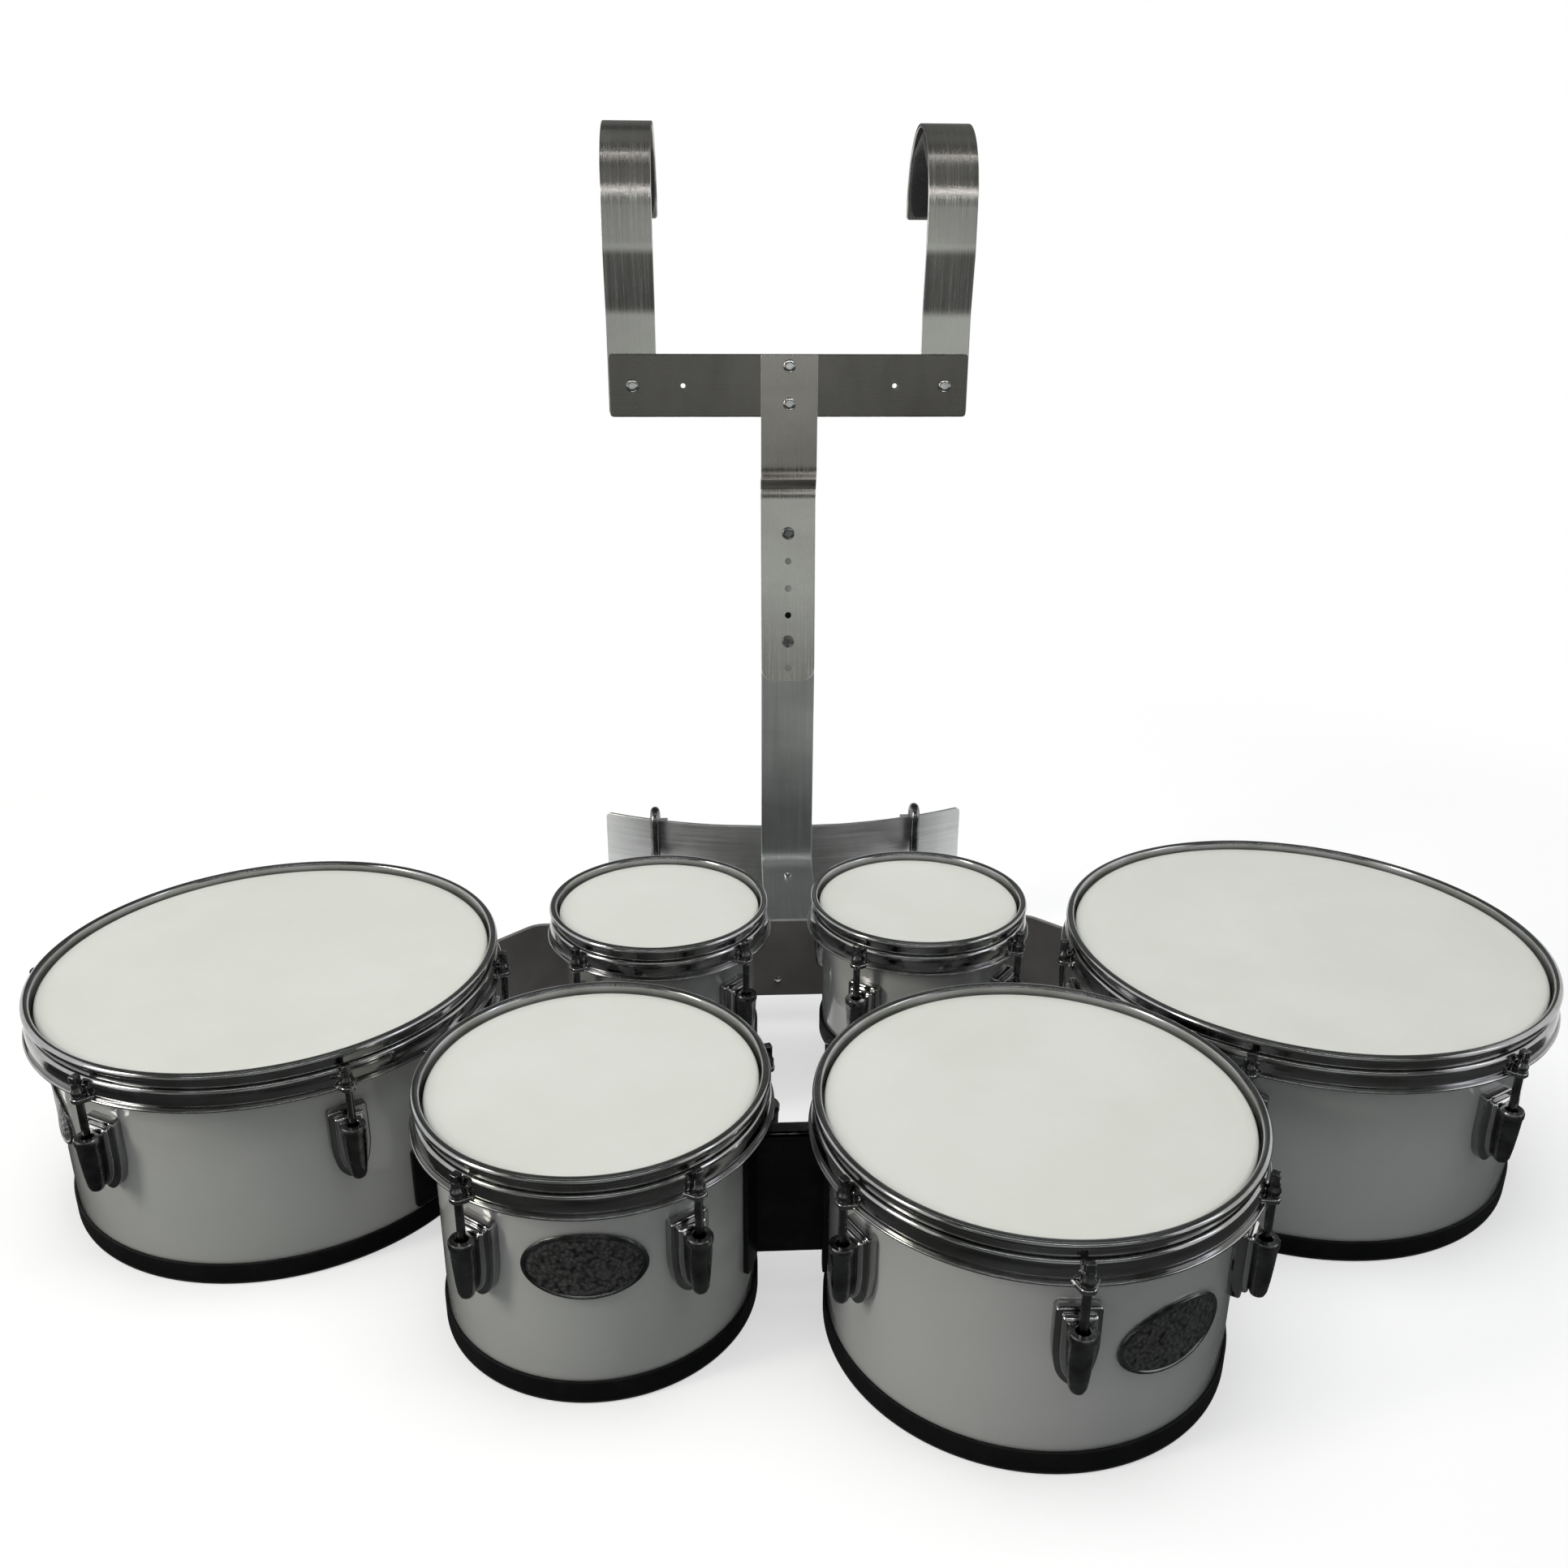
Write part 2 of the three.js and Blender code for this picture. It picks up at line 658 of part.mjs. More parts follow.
function receiver(name, side) {
  const x = hookX(side);
  const half = receiverWidth / 2;
  const back = hookBackY + half - 1;
  const body = block([x - half, bellyFront, hoopTop - receiverBottom], [x + half, back, hoopTop - receiverTop]);
  const room = disc(bellyRadius - sheet - seatGap, -mainHeight, 0, bellySides).translate([carrierX, bellyAxisY, hoopTop]);
  const bore = disc(hookRodRadius + slideGap, -receiverBottom - 1, -receiverTop + 1, 12);
  return part(name, body.intersect(room).subtract(bore.translate([x, hookBackY, hoopTop])), paintedSteel);
}

// A clamp block on the back of the rear plate, bored upright for the hook rod and tapped from behind for its screw
const clampY = frameY + frameThick / 2 + seatGap;
const rodY = clampY + clampDepth / 2;
const clampMid = (clampTop + clampBottom) / 2;

function rodClamp(name, side) {
  const x = hookX(side);
  const half = clampWidth / 2;
  const body = prism(roundedRect(clampWidth, clampDepth, 4), hoopTop - clampBottom, hoopTop - clampTop, 1);
  const bore = disc(hookRodRadius + slideGap, hoopTop - clampBottom - 1, hoopTop - clampTop + 1, 12);
  const tapped = crossPin(screwRadius + seatGap, 0, hoopTop - clampMid, 0, half + 2);
  return part(name, body.subtract(bore).subtract(tapped).translate([x, rodY, 0]), paintedSteel);
}

// A screw with two wings, pressing on the hook rod from behind
function wingScrew(name, side) {
  const tip = hookRodRadius + seatGap;
  const back = clampDepth / 2 + seatGap;
  const shaft = crossPin(screwRadius, 0, 0, tip, back + 1);
  const hub = crossPin(wingHub, 0, 0, back, back + wingHub + 2);
  const [root, crest] = [back + 2, back + wingReach];
  const wing = new THREE.Shape();
  wing.moveTo(-wingHub, root);
  wing.lineTo(wingHub, root);
  wing.quadraticCurveTo(wingReach, root + 2, wingReach, crest);
  wing.quadraticCurveTo(wingReach - 5, crest + 2, wingHub, back + wingHub);
  wing.lineTo(-wingHub, back + wingHub);
  wing.quadraticCurveTo(-wingReach + 5, crest + 2, -wingReach, crest);
  wing.quadraticCurveTo(-wingReach, root + 2, -wingHub, root);
  const wings = prism(wing, -bracketThick / 2, bracketThick / 2, 3);
  return part(name, union([shaft, hub, wings]).translate([hookX(side), rodY, hoopTop - clampMid]), chrome);
}

// A hook rod stands in its clamp, runs back below the belly plate's edge and hooks over it into the receiver
function hookRod(name, side) {
  const arcZ = -bellyTop - hookLift;
  const lower = bentPath([
    [rodY, -hookRodFoot],
    [rodY, -hookRun],
    [hookFrontY, -hookRun],
    [hookFrontY, arcZ],
  ], hookBend);
  const over = [30, 60, 90, 120, 150, 180].map((angle) => new THREE.Vector2(
    hookFrontY + hookArc * (1 - Math.cos(radians(angle))),
    arcZ + hookArc * Math.sin(radians(angle)),
  ));
  const route = [...lower, ...over, new THREE.Vector2(hookBackY, -hookTail)];
  const points = route.map(({ x, y }) => new THREE.Vector3(hookX(side), x, hoopTop + y));
  const extrudePath = new THREE.CatmullRomCurve3(points, false, 'centripetal');
  const section = new THREE.Shape().absarc(0, 0, hookRodRadius, 0, 2 * Math.PI);
  const options = { steps: 26, curveSegments: 3, bevelEnabled: false, extrudePath };
  return part(name, solidOf(new THREE.ExtrudeGeometry(section, options)), chrome);
}

// The adjusting line: the posts lie along it between their bends, leaning back towards the player
const lean = radians(postLean);
const slopeY = (height, out) => postY + (height - postJoint) * Math.tan(lean) + out / Math.cos(lean);
const upperOut = -(sheet + seatGap);

// Puts a solid made about the Y axis on the adjusting line at a height, square to the posts
const onSlope = (solid, height) => (
  solid.rotate([-postLean, 0, 0]).translate([carrierX, slopeY(height, 0), hoopTop + height]));
const holeHeight = (index) => firstHole - index * holePitch;

// The tongue's slope, and a solid about the Y axis stood on it with its front up
const tongueY = frameY + frameThick / 2 + tongueGap;
const tongueSlope = (bellyBendUp + tongueDrop) / (bellyPostY - tongueY);
const tongueTilt = THREE.MathUtils.radToDeg(Math.atan(tongueSlope));
const tongueScrewHeight = bellyBendUp - (bellyPostY - tongueScrewY) * tongueSlope;
const onTongue = (solid) => (
  solid.rotate([tongueTilt - 90, 0, 0]).translate([carrierX, tongueScrewY, hoopTop + tongueScrewHeight]));

function postPath(points) {
  return bentPath(points, postBend).map((point) => point.add(new THREE.Vector2(0, hoopTop)));
}

// The rear strip: a tongue behind the rear plate, the belly bend, and two slots for the adjusting bolts
function lowerPost() {
  const body = strip(postPath([
    [tongueY, -tongueDrop],
    [bellyPostY, bellyBendUp],
    [postY, postJoint],
    [slopeY(lowerPostTop, 0), lowerPostTop],
  ]), sheet, postWidth, carrierX);
  const slots = boltedHoles.map((index) => {
    const slot = roundedRect(2 * holeRadius, slotUp + slotDown + 2 * holeRadius, holeRadius - slotCornerSpare);
    const raised = new THREE.ExtrudeGeometry(slot, { depth: 4 * sheet, bevelEnabled: false, curveSegments: 2 });
    const cut = solidOf(oriented(raised.translate(0, 0, -2 * sheet), alongX, alongZ));
    return onSlope(cut.translate([0, 0, (slotUp - slotDown) / 2]), holeHeight(index));
  });
  const tapped = crossPin(holeRadius, carrierX, hoopTop - bellyScrewDrop, bellyScrewTip - seatGap, bellyFront + 1);
  const screwHole = onTongue(crossPin(holeRadius, 0, 0, -2 * sheet, 2 * sheet));
  return part('lower_post', body.subtract(union([...slots, tapped, screwHole])), brushed);
}

// A plate behind the slots that the nuts of the adjusting bolts pull against
function clampPlate() {
  const [first, last] = boltedHoles.map(holeHeight);
  const face = roundedRect(clampPlateWidth, first - last + 2 * clampPlateEnd, clampPlateEnd / 2);
  const raised = new THREE.ExtrudeGeometry(face, { depth: clampPlateThick, bevelEnabled: false, curveSegments: 2 });
  const back = sheet / 2 + seatGap + clampPlateThick;
  const plate = solidOf(oriented(raised, alongX, alongZ)).translate([0, back, (last - first) / 2]);
  const holes = [0, last - first].map((z) => crossPin(holeRadius, 0, z, 0, 2 * back));
  return part('clamp_plate', onSlope(plate.subtract(union(holes)), first), paintedSteel);
}

// The front strip: a rounded foot, a row of adjusting holes, and an offset bend up to the cross plate
function upperPost() {
  const body = strip(postPath([
    [slopeY(upperPostFoot, upperOut), upperPostFoot],
    [slopeY(offsetLow, upperOut), offsetLow],
    [chestY, offsetHigh],
    [chestY, chestTop],
  ]), sheet, postWidth, carrierX);
  const face = roundedRect(postWidth, 2 * (chestTop - upperPostFoot), footRadius);
  const depth = postWidth;
  const raised = new THREE.ExtrudeGeometry(face, { depth, bevelEnabled: false, curveSegments: 2 });
  const mask = solidOf(oriented(raised, alongX, alongZ)).translate([carrierX, postY + depth / 2, hoopTop + chestTop]);
  const holes = Array.from({ length: holeCount }, (_, index) => (
    onSlope(crossPin(holeRadius, 0, 0, -4 * sheet, sheet, 6), holeHeight(index))));
  const screws = crossScrews.map((height) => (
    crossPin(holeRadius, carrierX, hoopTop + height, chestY - 5, chestY + 5, 6)));
  return part('upper_post', body.intersect(mask).subtract(union([...holes, ...screws])), brushed);
}

// A bolt about the Y axis with a domed head in front of y = 0, and a nut beyond what it holds
function boltSolid(grip, width = boltHead) {
  const head = -seatGap;
  const nut = grip + seatGap;
  return revolve([
    [0, head - boltHeadThick],
    [width * 0.7, head - boltHeadThick],
    [width, head],
    [boltRadius, head],
    [boltRadius, nut],
    [width, nut],
    [width, nut + boltNut],
    [0, nut + boltNut],
  ], 6).rotate([-90, 0, 0]);
}

// The belly screw's head is on the player's side, and its tip is tapped into the back of the post
function bellyScrew() {
  const face = bellyFront + sheet + seatGap;
  const solid = revolve([
    [0, bellyScrewTip],
    [boltRadius, bellyScrewTip],
    [boltRadius, face],
    [boltHead, face],
    [boltHead * 0.7, face + boltHeadThick],
    [0, face + boltHeadThick],
  ], 6).rotate([-90, 0, 0]);
  return part('belly_screw', solid.translate([carrierX, 0, hoopTop - bellyScrewDrop]), chrome);
}

function tongueScrew() {
  const solid = boltSolid(sheet, tongueScrewHead).translate([0, -sheet / 2, 0]);
  return part('tongue_screw', onTongue(solid), chrome);
}

function postBolt(name, index) {
  const grip = 2 * sheet + 2 * seatGap + clampPlateThick;
  return part(name, onSlope(boltSolid(grip).translate([0, upperOut - sheet / 2, 0]), holeHeight(index)), chrome);
}

// The cross plate lies behind the upper post, the shoulder hooks behind the cross plate
const crossY = chestY + sheet + seatGap;
const hookY = crossY + sheet + seatGap;
const crossMid = chestTop - crossHeight / 2;
const shoulderX = (side) => carrierX + side * shoulderSpacing / 2;
const spareX = (side) => carrierX + side * spareSpacing / 2;

function crossPlate() {
  const face = roundedRect(crossWidth, crossHeight, crossCorner);
  const raised = new THREE.ExtrudeGeometry(face, { depth: sheet, bevelEnabled: false, curveSegments: 1 });
  const plate = solidOf(oriented(raised, alongX, alongZ))
    .translate([carrierX, crossY + sheet / 2, hoopTop + crossMid]);
  const pin = (radius, x, height) => crossPin(radius, x, hoopTop + height, crossY - 5, crossY + 5, 6);
  const holes = [-1, 1].flatMap((side) => [
    pin(holeRadius, shoulderX(side), crossMid),
    pin(spareRadius, spareX(side), crossMid),
  ]);
  const screws = crossScrews.map((height) => pin(holeRadius, carrierX, height));
  return part('cross_plate', plate.subtract(union([...holes, ...screws])), brushed);
}

function flatBolt(name, x, faceY, height, grip) {
  return part(name, boltSolid(grip).translate([x, faceY, hoopTop + height]), chrome);
}

// Points on the shoulder arch, which turns about an axis above the shoulder
const archRadius = shoulderDepth / 2;
const archFront = hookY - shoulderJog;
const archY = archFront + archRadius;
const archZ = shoulderApex - archRadius;

function archPoints(radius) {
  return Array.from({ length: archSteps + 1 }, (_, k) => {
    const angle = Math.PI * (1 - k / archSteps);
    return new THREE.Vector2(archY + radius * Math.cos(angle), hoopTop + archZ + radius * Math.sin(angle));
  });
}

function shoulderHook(name, side) {
  const rise = bentPath([
    [hookY, hoopTop + chestTop - crossHeight + 2],
    [hookY, hoopTop + jogLow],
    [archFront, hoopTop + jogHigh],
    [archFront, hoopTop + archZ - 1],
  ], postBend, 3);
  const path = [...rise, ...archPoints(archRadius), new THREE.Vector2(archY + archRadius, hoopTop + shoulderEnd)];
  const body = strip(path, sheet, shoulderWidth, shoulderX(side));
  const hole = crossPin(holeRadius, shoulderX(side), hoopTop + crossMid, hookY - 5, hookY + 5, 6);
  return part(name, body.subtract(hole), brushed);
}

function shoulderLining(name, side) {
  const inner = archRadius - sheet / 2 - seatGap - liningThick / 2;
  const path = [
    new THREE.Vector2(archY - inner, hoopTop + liningStart),
    ...archPoints(inner),
    new THREE.Vector2(archY + inner, hoopTop + shoulderEnd + 2),
  ];
  return part(name, strip(path, liningThick, shoulderWidth - 2, shoulderX(side)), foam);
}

const marchingTenors = new THREE.Group();
for (const drum of Object.values(drums)) {
  marchingTenors.add(drumGroup(drum));
}
marchingTenors.add(
  rearFrame(),
  frameRivet(),
  frontBridge(),
  sideBracket('left_bracket', drums.left, drums.front_left),
  sideBracket('right_bracket', drums.front_right, drums.right),
  smallMount(drums.small_left),
  smallMount(drums.small_right),
  bellyPlate(),
  bellyPad(),
  lowerPost(),
  tongueScrew(),
  bellyScrew(),
  upperPost(),
  clampPlate(),
  crossPlate(),
);
for (const [word, side] of [['left', -1], ['right', 1]]) {
  marchingTenors.add(
    rodClamp(`${word}_rod_clamp`, side),
    wingScrew(`${word}_wing_screw`, side),
    hookRod(`${word}_hook_rod`, side),
    receiver(`${word}_rod_receiver`, side),
    shoulderHook(`${word}_shoulder_hook`, side),
    shoulderLining(`${word}_shoulder_lining`, side),
    flatBolt(`${word}_shoulder_bolt`, shoulderX(side), crossY - sheet / 2, crossMid, 2 * sheet + seatGap),
  );
}
boltedHoles.forEach((index, k) => marchingTenors.add(postBolt(`post_bolt_${k + 1}`, index)));
crossScrews.forEach((height, k) => (
  marchingTenors.add(flatBolt(`cross_screw_${k + 1}`, carrierX, chestY - sheet / 2, height, 2 * sheet + seatGap))));

// The origin is the middle of the object's box, on the floor
const bounds = new THREE.Box3().setFromObject(marchingTenors);
const middle = bounds.getCenter(new THREE.Vector3());
marchingTenors.position.set(-middle.x, -middle.y, -bounds.min.z);

export default marchingTenors;
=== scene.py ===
"""Looks of the marching tenor drums: six drums with chrome hoops and lugs, their frame, and the carrier."""

import math
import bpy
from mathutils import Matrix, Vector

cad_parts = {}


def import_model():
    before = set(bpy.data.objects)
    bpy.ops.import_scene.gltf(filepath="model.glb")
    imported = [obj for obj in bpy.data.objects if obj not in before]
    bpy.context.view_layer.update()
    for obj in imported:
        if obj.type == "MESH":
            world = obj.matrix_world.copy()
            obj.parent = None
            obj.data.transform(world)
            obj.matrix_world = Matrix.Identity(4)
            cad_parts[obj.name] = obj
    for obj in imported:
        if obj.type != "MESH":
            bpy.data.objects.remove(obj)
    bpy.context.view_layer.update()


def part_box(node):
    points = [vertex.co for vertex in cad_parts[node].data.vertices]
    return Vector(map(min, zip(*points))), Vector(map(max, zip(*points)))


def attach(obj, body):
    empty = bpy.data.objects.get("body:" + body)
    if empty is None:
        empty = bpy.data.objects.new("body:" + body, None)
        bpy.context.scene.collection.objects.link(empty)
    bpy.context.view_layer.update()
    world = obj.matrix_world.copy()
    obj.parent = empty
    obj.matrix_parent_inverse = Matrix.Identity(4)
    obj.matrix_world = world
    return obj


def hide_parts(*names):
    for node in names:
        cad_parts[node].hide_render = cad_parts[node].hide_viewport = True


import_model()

from types import SimpleNamespace

import bmesh
import bpy
import numpy as np
from mathutils import Matrix, Vector

# Lengths are in millimetres until a mesh is made
MM = 0.001
INCH = 25.4

# Height of a large drum, which is how high the tops of all hoops stand over the floor, and of a small one
TOP = 168.0
SMALL = TOP - 44

# Thickness of the carrier's strips, and the clearance between pieces that touch
SHEET = 3.0
GAP = 0.3

# Faces that meet at less than this angle, in degrees, are shaded as one
SMOOTH = 38

SIDES = (("left", -1), ("right", 1))

# The axes of a turned shape that is laid along Y
ALONG_Y = ((1, 0, 0), (0, 0, -1), (0, 1, 0))


def middle(node):
    """The middle of a CAD node's box, in millimetres."""
    low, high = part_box(node)
    return np.array((low + high) / 2) / MM


# Camera: where the photograph was taken from
def photo_camera():
    """Looks ahead and down by a pitch, then rolls: right and up turn by the roll's cosine and sine."""
    place = Vector((-0.0625, -0.9152, 0.6394))
    pitch, roll = math.radians(21.11), math.radians(0.28)
    heading = Vector((0.0523, 0.9986, 0)).normalized()
    ahead = heading * math.cos(pitch) - Vector((0, 0, math.sin(pitch)))
    level = ahead.cross(Vector((0, 0, 1))).normalized()
    upright = level.cross(ahead)
    right = level * math.cos(roll) + upright * math.sin(roll)
    up = upright * math.cos(roll) - level * math.sin(roll)
    data = bpy.data.cameras.new("photo_camera")
    data.sensor_width = 36
    data.lens = 31.12
    data.clip_start, data.clip_end = 0.02, 60
    camera = bpy.data.objects.new("photo_camera", data)
    camera.matrix_world = Matrix((
        (right.x, up.x, -ahead.x, place.x),
        (right.y, up.y, -ahead.y, place.y),
        (right.z, up.z, -ahead.z, place.z),
        (0, 0, 0, 1),
    ))
    bpy.context.scene.collection.objects.link(camera)
    bpy.context.scene.camera = camera


photo_camera()


# Shader nodes
def feed(tree, made, inputs):
    """Links each of a node's inputs to a socket, or sets it to a plain value."""
    for key, value in inputs.items():
        if isinstance(value, bpy.types.NodeSocket):
            tree.links.new(value, made.inputs[key])
        else:
            made.inputs[key].default_value = value


def node(tree, kind, inputs=None, **settings):
    """A shader node with its settings and inputs."""
    made = tree.nodes.new("ShaderNode" + kind)
    for key, value in settings.items():
        setattr(made, key, value)
    feed(tree, made, inputs or {})
    return made


def on_piece(tree):
    """The place on the piece that its patterns follow."""
    return node(tree, "TexCoord").outputs["Object"]


def noise(tree, place, scale, detail, roughness=0.5):
    """Cloudy noise about one half, finer with a higher scale."""
    inputs = {"Vector": place, "Scale": scale, "Detail": detail, "Roughness": roughness}
    return node(tree, "TexNoise", inputs).outputs[0]


def ranged(tree, value, low, high, start=0.0, end=1.0):
    """A value carried over from low and high to start and end, and held there beyond them."""
    return node(tree, "MapRange", {0: value, 1: low, 2: high, 3: start, 4: end}).outputs[0]


def times(tree, first, second, **settings):
    """Two values multiplied."""
    return node(tree, "Math", {0: first, 1: second}, operation="MULTIPLY", **settings).outputs[0]


def blend(tree, amount, first, second):
    """Two colours mixed by an amount."""
    return node(tree, "Mix", {0: amount, 6: first, 7: second}, data_type="RGBA").outputs[2]


def bumped(tree, height, depth, **settings):
    """The normal over a relief of a given depth, in metres."""
    return node(tree, "Bump", {"Height": height, "Distance": depth, "Strength": 1.0}, **settings).outputs[0]


def effect(name, sockets, outputs):
    """An empty node group with named inputs and outputs, returned with its input and output nodes."""
    tree = bpy.data.node_groups.new(name, "ShaderNodeTree")
    kinds = {"c": "NodeSocketColor", "v": "NodeSocketVector", "f": "NodeSocketFloat"}
    for label, kind in sockets.items():
        tree.interface.new_socket(label, in_out="INPUT", socket_type=kinds[kind])
    for label, kind in outputs.items():
        tree.interface.new_socket(label, in_out="OUTPUT", socket_type=kinds[kind])
    return tree, tree.nodes.new("NodeGroupInput").outputs, tree.nodes.new("NodeGroupOutput").inputs


def smudges():
    """Handled gloss: two sizes of noise, multiplied, give a roughness between Low and High."""
    tree, given, out = effect("smudges", {"Scale": "f", "Low": "f", "High": "f"}, {"Roughness": "f"})
    place = on_piece(tree)
    broad = noise(tree, place, given["Scale"], 3.0)
    fine = noise(tree, place, times(tree, given["Scale"], 9.0), 5.0, 0.65)
    level = ranged(tree, times(tree, broad, fine), 0.14, 0.38, given["Low"], given["High"])
    tree.links.new(level, out["Roughness"])
    return tree


def dust():
    """Dust on what faces up: patchy noise times the upward part of the normal mixes in the dust's colour."""
    tree, given, out = effect("dust", {"Color": "c", "Dust": "c", "Amount": "f"}, {"Color": "c"})
    patches = ranged(tree, noise(tree, on_piece(tree), 38.0, 6.0, 0.7), 0.42, 0.72)
    facing = node(tree, "SeparateXYZ", {0: node(tree, "NewGeometry").outputs["Normal"]})
    upward = ranged(tree, facing.outputs[2], -0.3, 1.0, 0.25, 1.0)
    amount = times(tree, times(tree, patches, upward), given["Amount"], use_clamp=True)
    tree.links.new(blend(tree, amount, given["Color"], given["Dust"]), out["Color"])
    return tree


def worn_edges():
    """Wear along edges: how sharply the surface turns, broken up by noise, mixes in the worn colour."""
    tree, given, out = effect("worn edges", {"Color": "c", "Worn": "c", "Amount": "f"}, {"Color": "c"})
    sharp = ranged(tree, node(tree, "NewGeometry").outputs["Pointiness"], 0.52, 0.60)
    patchy = ranged(tree, noise(tree, on_piece(tree), 130.0, 6.0), 0.40, 0.62)
    amount = times(tree, times(tree, sharp, patchy), given["Amount"], use_clamp=True)
    tree.links.new(blend(tree, amount, given["Color"], given["Worn"]), out["Color"])
    return tree


def brush_lines():
    """Brushed metal: noise stretched along the bar gives fine lines, and a slower one gives broad tone bands."""
    tree, given, out = effect("brush lines", {"Stretch": "v", "Bands": "v"}, {"Lines": "f", "Tone": "f"})
    place = on_piece(tree)
    for stretch, detail, roughness, label in (("Stretch", 8.0, 0.75, "Lines"), ("Bands", 4.0, 0.6, "Tone")):
        drawn = node(tree, "VectorMath", {0: place, 1: given[stretch]}, operation="MULTIPLY")
        tree.links.new(noise(tree, drawn.outputs[0], 1.0, detail, roughness), out[label])
    return tree


def grain():
    """A grainy surface: noise of a given scale raised into a bump of a given depth."""
    tree, given, out = effect("grain", {"Scale": "f", "Depth": "f"}, {"Normal": "v"})
    relief = noise(tree, on_piece(tree), given["Scale"], 5.0, 0.6)
    tree.links.new(bumped(tree, relief, given["Depth"]), out["Normal"])
    return tree


SMUDGES, DUST, WORN, BRUSHED, GRAIN = smudges(), dust(), worn_edges(), brush_lines(), grain()


def use(tree, group, inputs):
    """Places one of the shared effects in a material."""
    made = tree.nodes.new("ShaderNodeGroup")
    made.node_tree = group
    feed(tree, made, inputs)
    return made.outputs


def smudged(tree, scale, low, high):
    """Gloss that handling has made uneven, between two roughnesses."""
    return use(tree, SMUDGES, {"Scale": scale, "Low": low, "High": high})["Roughness"]


def dusted(tree, colour, dust_colour, amount):
    """A colour under settled dust."""
    return use(tree, DUST, {"Color": colour, "Dust": (*dust_colour, 1), "Amount": amount})["Color"]


def rubbed(tree, colour, worn_colour, amount):
    """A colour rubbed through along its edges."""
    return use(tree, WORN, {"Color": colour, "Worn": (*worn_colour, 1), "Amount": amount})["Color"]


def grained(tree, scale, depth):
    """The normal of a grainy skin."""
    return use(tree, GRAIN, {"Scale": scale, "Depth": depth})["Normal"]


def tinted(tree, factor, low, high, dark, light):
    """Two colours mixed by a factor that runs from low to high."""
    return blend(tree, ranged(tree, factor, low, high), (*dark, 1), (*light, 1))


def finish_of(name, base, metallic=0.0, **constants):
    """A material with a Principled shader whose plain values are set on its own sockets."""
    material = bpy.data.materials.new(name)
    material.use_nodes = True
    tree = material.node_tree
    shader = tree.nodes["Principled BSDF"]
    shader.inputs["Base Color"].default_value = (*base, 1)
    shader.inputs["Metallic"].default_value = metallic
    for label, value in constants.items():
        shader.inputs[label.replace("_", " ").title().replace("Ior", "IOR")].default_value = value
    return material, tree, shader


def average(light):
    """The plain colour that stands for a finish whose tone runs up to a light one."""
    return tuple(0.87 * level for level in light)


def white_lacquer():
    """Gloss lacquer with a faint orange peel and a slight change of tone, dusty where it faces up."""
    material, tree, shader = finish_of("white_lacquer", (0.535, 0.55, 0.535), coat_weight=1.0, coat_roughness=0.03)
    patches = noise(tree, on_piece(tree), 7.0, 4.0)
    tone = tinted(tree, patches, 0.3, 0.7, (0.50, 0.52, 0.50), (0.57, 0.58, 0.575))
    feed(tree, shader, {
        "Base Color": dusted(tree, tone, (0.34, 0.33, 0.30), 0.12),
        "Roughness": smudged(tree, 11.0, 0.10, 0.26),
        "Normal": grained(tree, 260.0, 0.00004),
    })
    return material


def plywood():
    """Bare plywood inside the shells: noise drawn out round the drum gives the grain."""
    material, tree, shader = finish_of("shell_plywood", (0.5, 0.36, 0.22), specular_ior_level=0.3)
    drawn = node(tree, "Mapping", {"Vector": on_piece(tree), "Scale": (9.0, 9.0, 240.0)})
    fibres = noise(tree, drawn.outputs[0], 1.0, 8.0, 0.7)
    feed(tree, shader, {
        "Base Color": tinted(tree, fibres, 0.3, 0.7, (0.36, 0.23, 0.12), (0.60, 0.44, 0.27)),
        "Roughness": smudged(tree, 30.0, 0.45, 0.7),
        "Normal": bumped(tree, fibres, 0.0001),
    })
    return material


def chrome(name, dark, light):
    """Polished plate over steel: smudged gloss, fine hairlines, and a duller tone where dust has settled."""
    material, tree, shader = finish_of(name, average(light), metallic=1.0)
    clouds = noise(tree, on_piece(tree), 26.0, 5.0)
    dull = dusted(tree, tinted(tree, clouds, 0.35, 0.65, dark, light), (0.30, 0.29, 0.27), 0.2)
    feed(tree, shader, {
        "Base Color": rubbed(tree, dull, (0.62, 0.62, 0.63), 0.6),
        "Roughness": smudged(tree, 24.0, 0.06, 0.2),
        "Normal": grained(tree, 480.0, 0.00002),
    })
    return material


def dark_steel_and_painted_shade():
    """Darker plated steel of the screws, tension rods and hook rods; on the lugs' chrome barrels its darkness paints
    shade.
    """
    material, tree, shader = finish_of("dark_steel_and_painted_shade", (0.16, 0.16, 0.165), metallic=1.0)
    clouds = noise(tree, on_piece(tree), 90.0, 6.0)
    tone = tinted(tree, clouds, 0.35, 0.65, (0.10, 0.10, 0.10), (0.21, 0.21, 0.215))
    feed(tree, shader, {
        "Base Color": rubbed(tree, tone, (0.5, 0.5, 0.5), 0.8),
        "Roughness": smudged(tree, 60.0, 0.14, 0.34),
        "Normal": grained(tree, 700.0, 0.00004),
    })
    return material


def coated_film():
    """Coated drum head: sprayed grain, slow tone changes, and faint grey marks where finer noise is high."""
    material, tree, shader = finish_of("coated_film", (0.655, 0.665, 0.615), specular_ior_level=0.3)
    place = on_piece(tree)
    patches = noise(tree, place, 10.0, 7.0, 0.6)
    tone = tinted(tree, patches, 0.3, 0.7, (0.625, 0.64, 0.585), (0.672, 0.68, 0.637))
    marks = ranged(tree, noise(tree, place, 75.0, 6.0, 0.75), 0.60, 0.78, 0.0, 0.12)
    feed(tree, shader, {
        "Base Color": blend(tree, marks, tone, (0.52, 0.52, 0.50, 1)),
        "Roughness": smudged(tree, 18.0, 0.42, 0.6),
        "Normal": grained(tree, 900.0, 0.00006),
    })
    return material


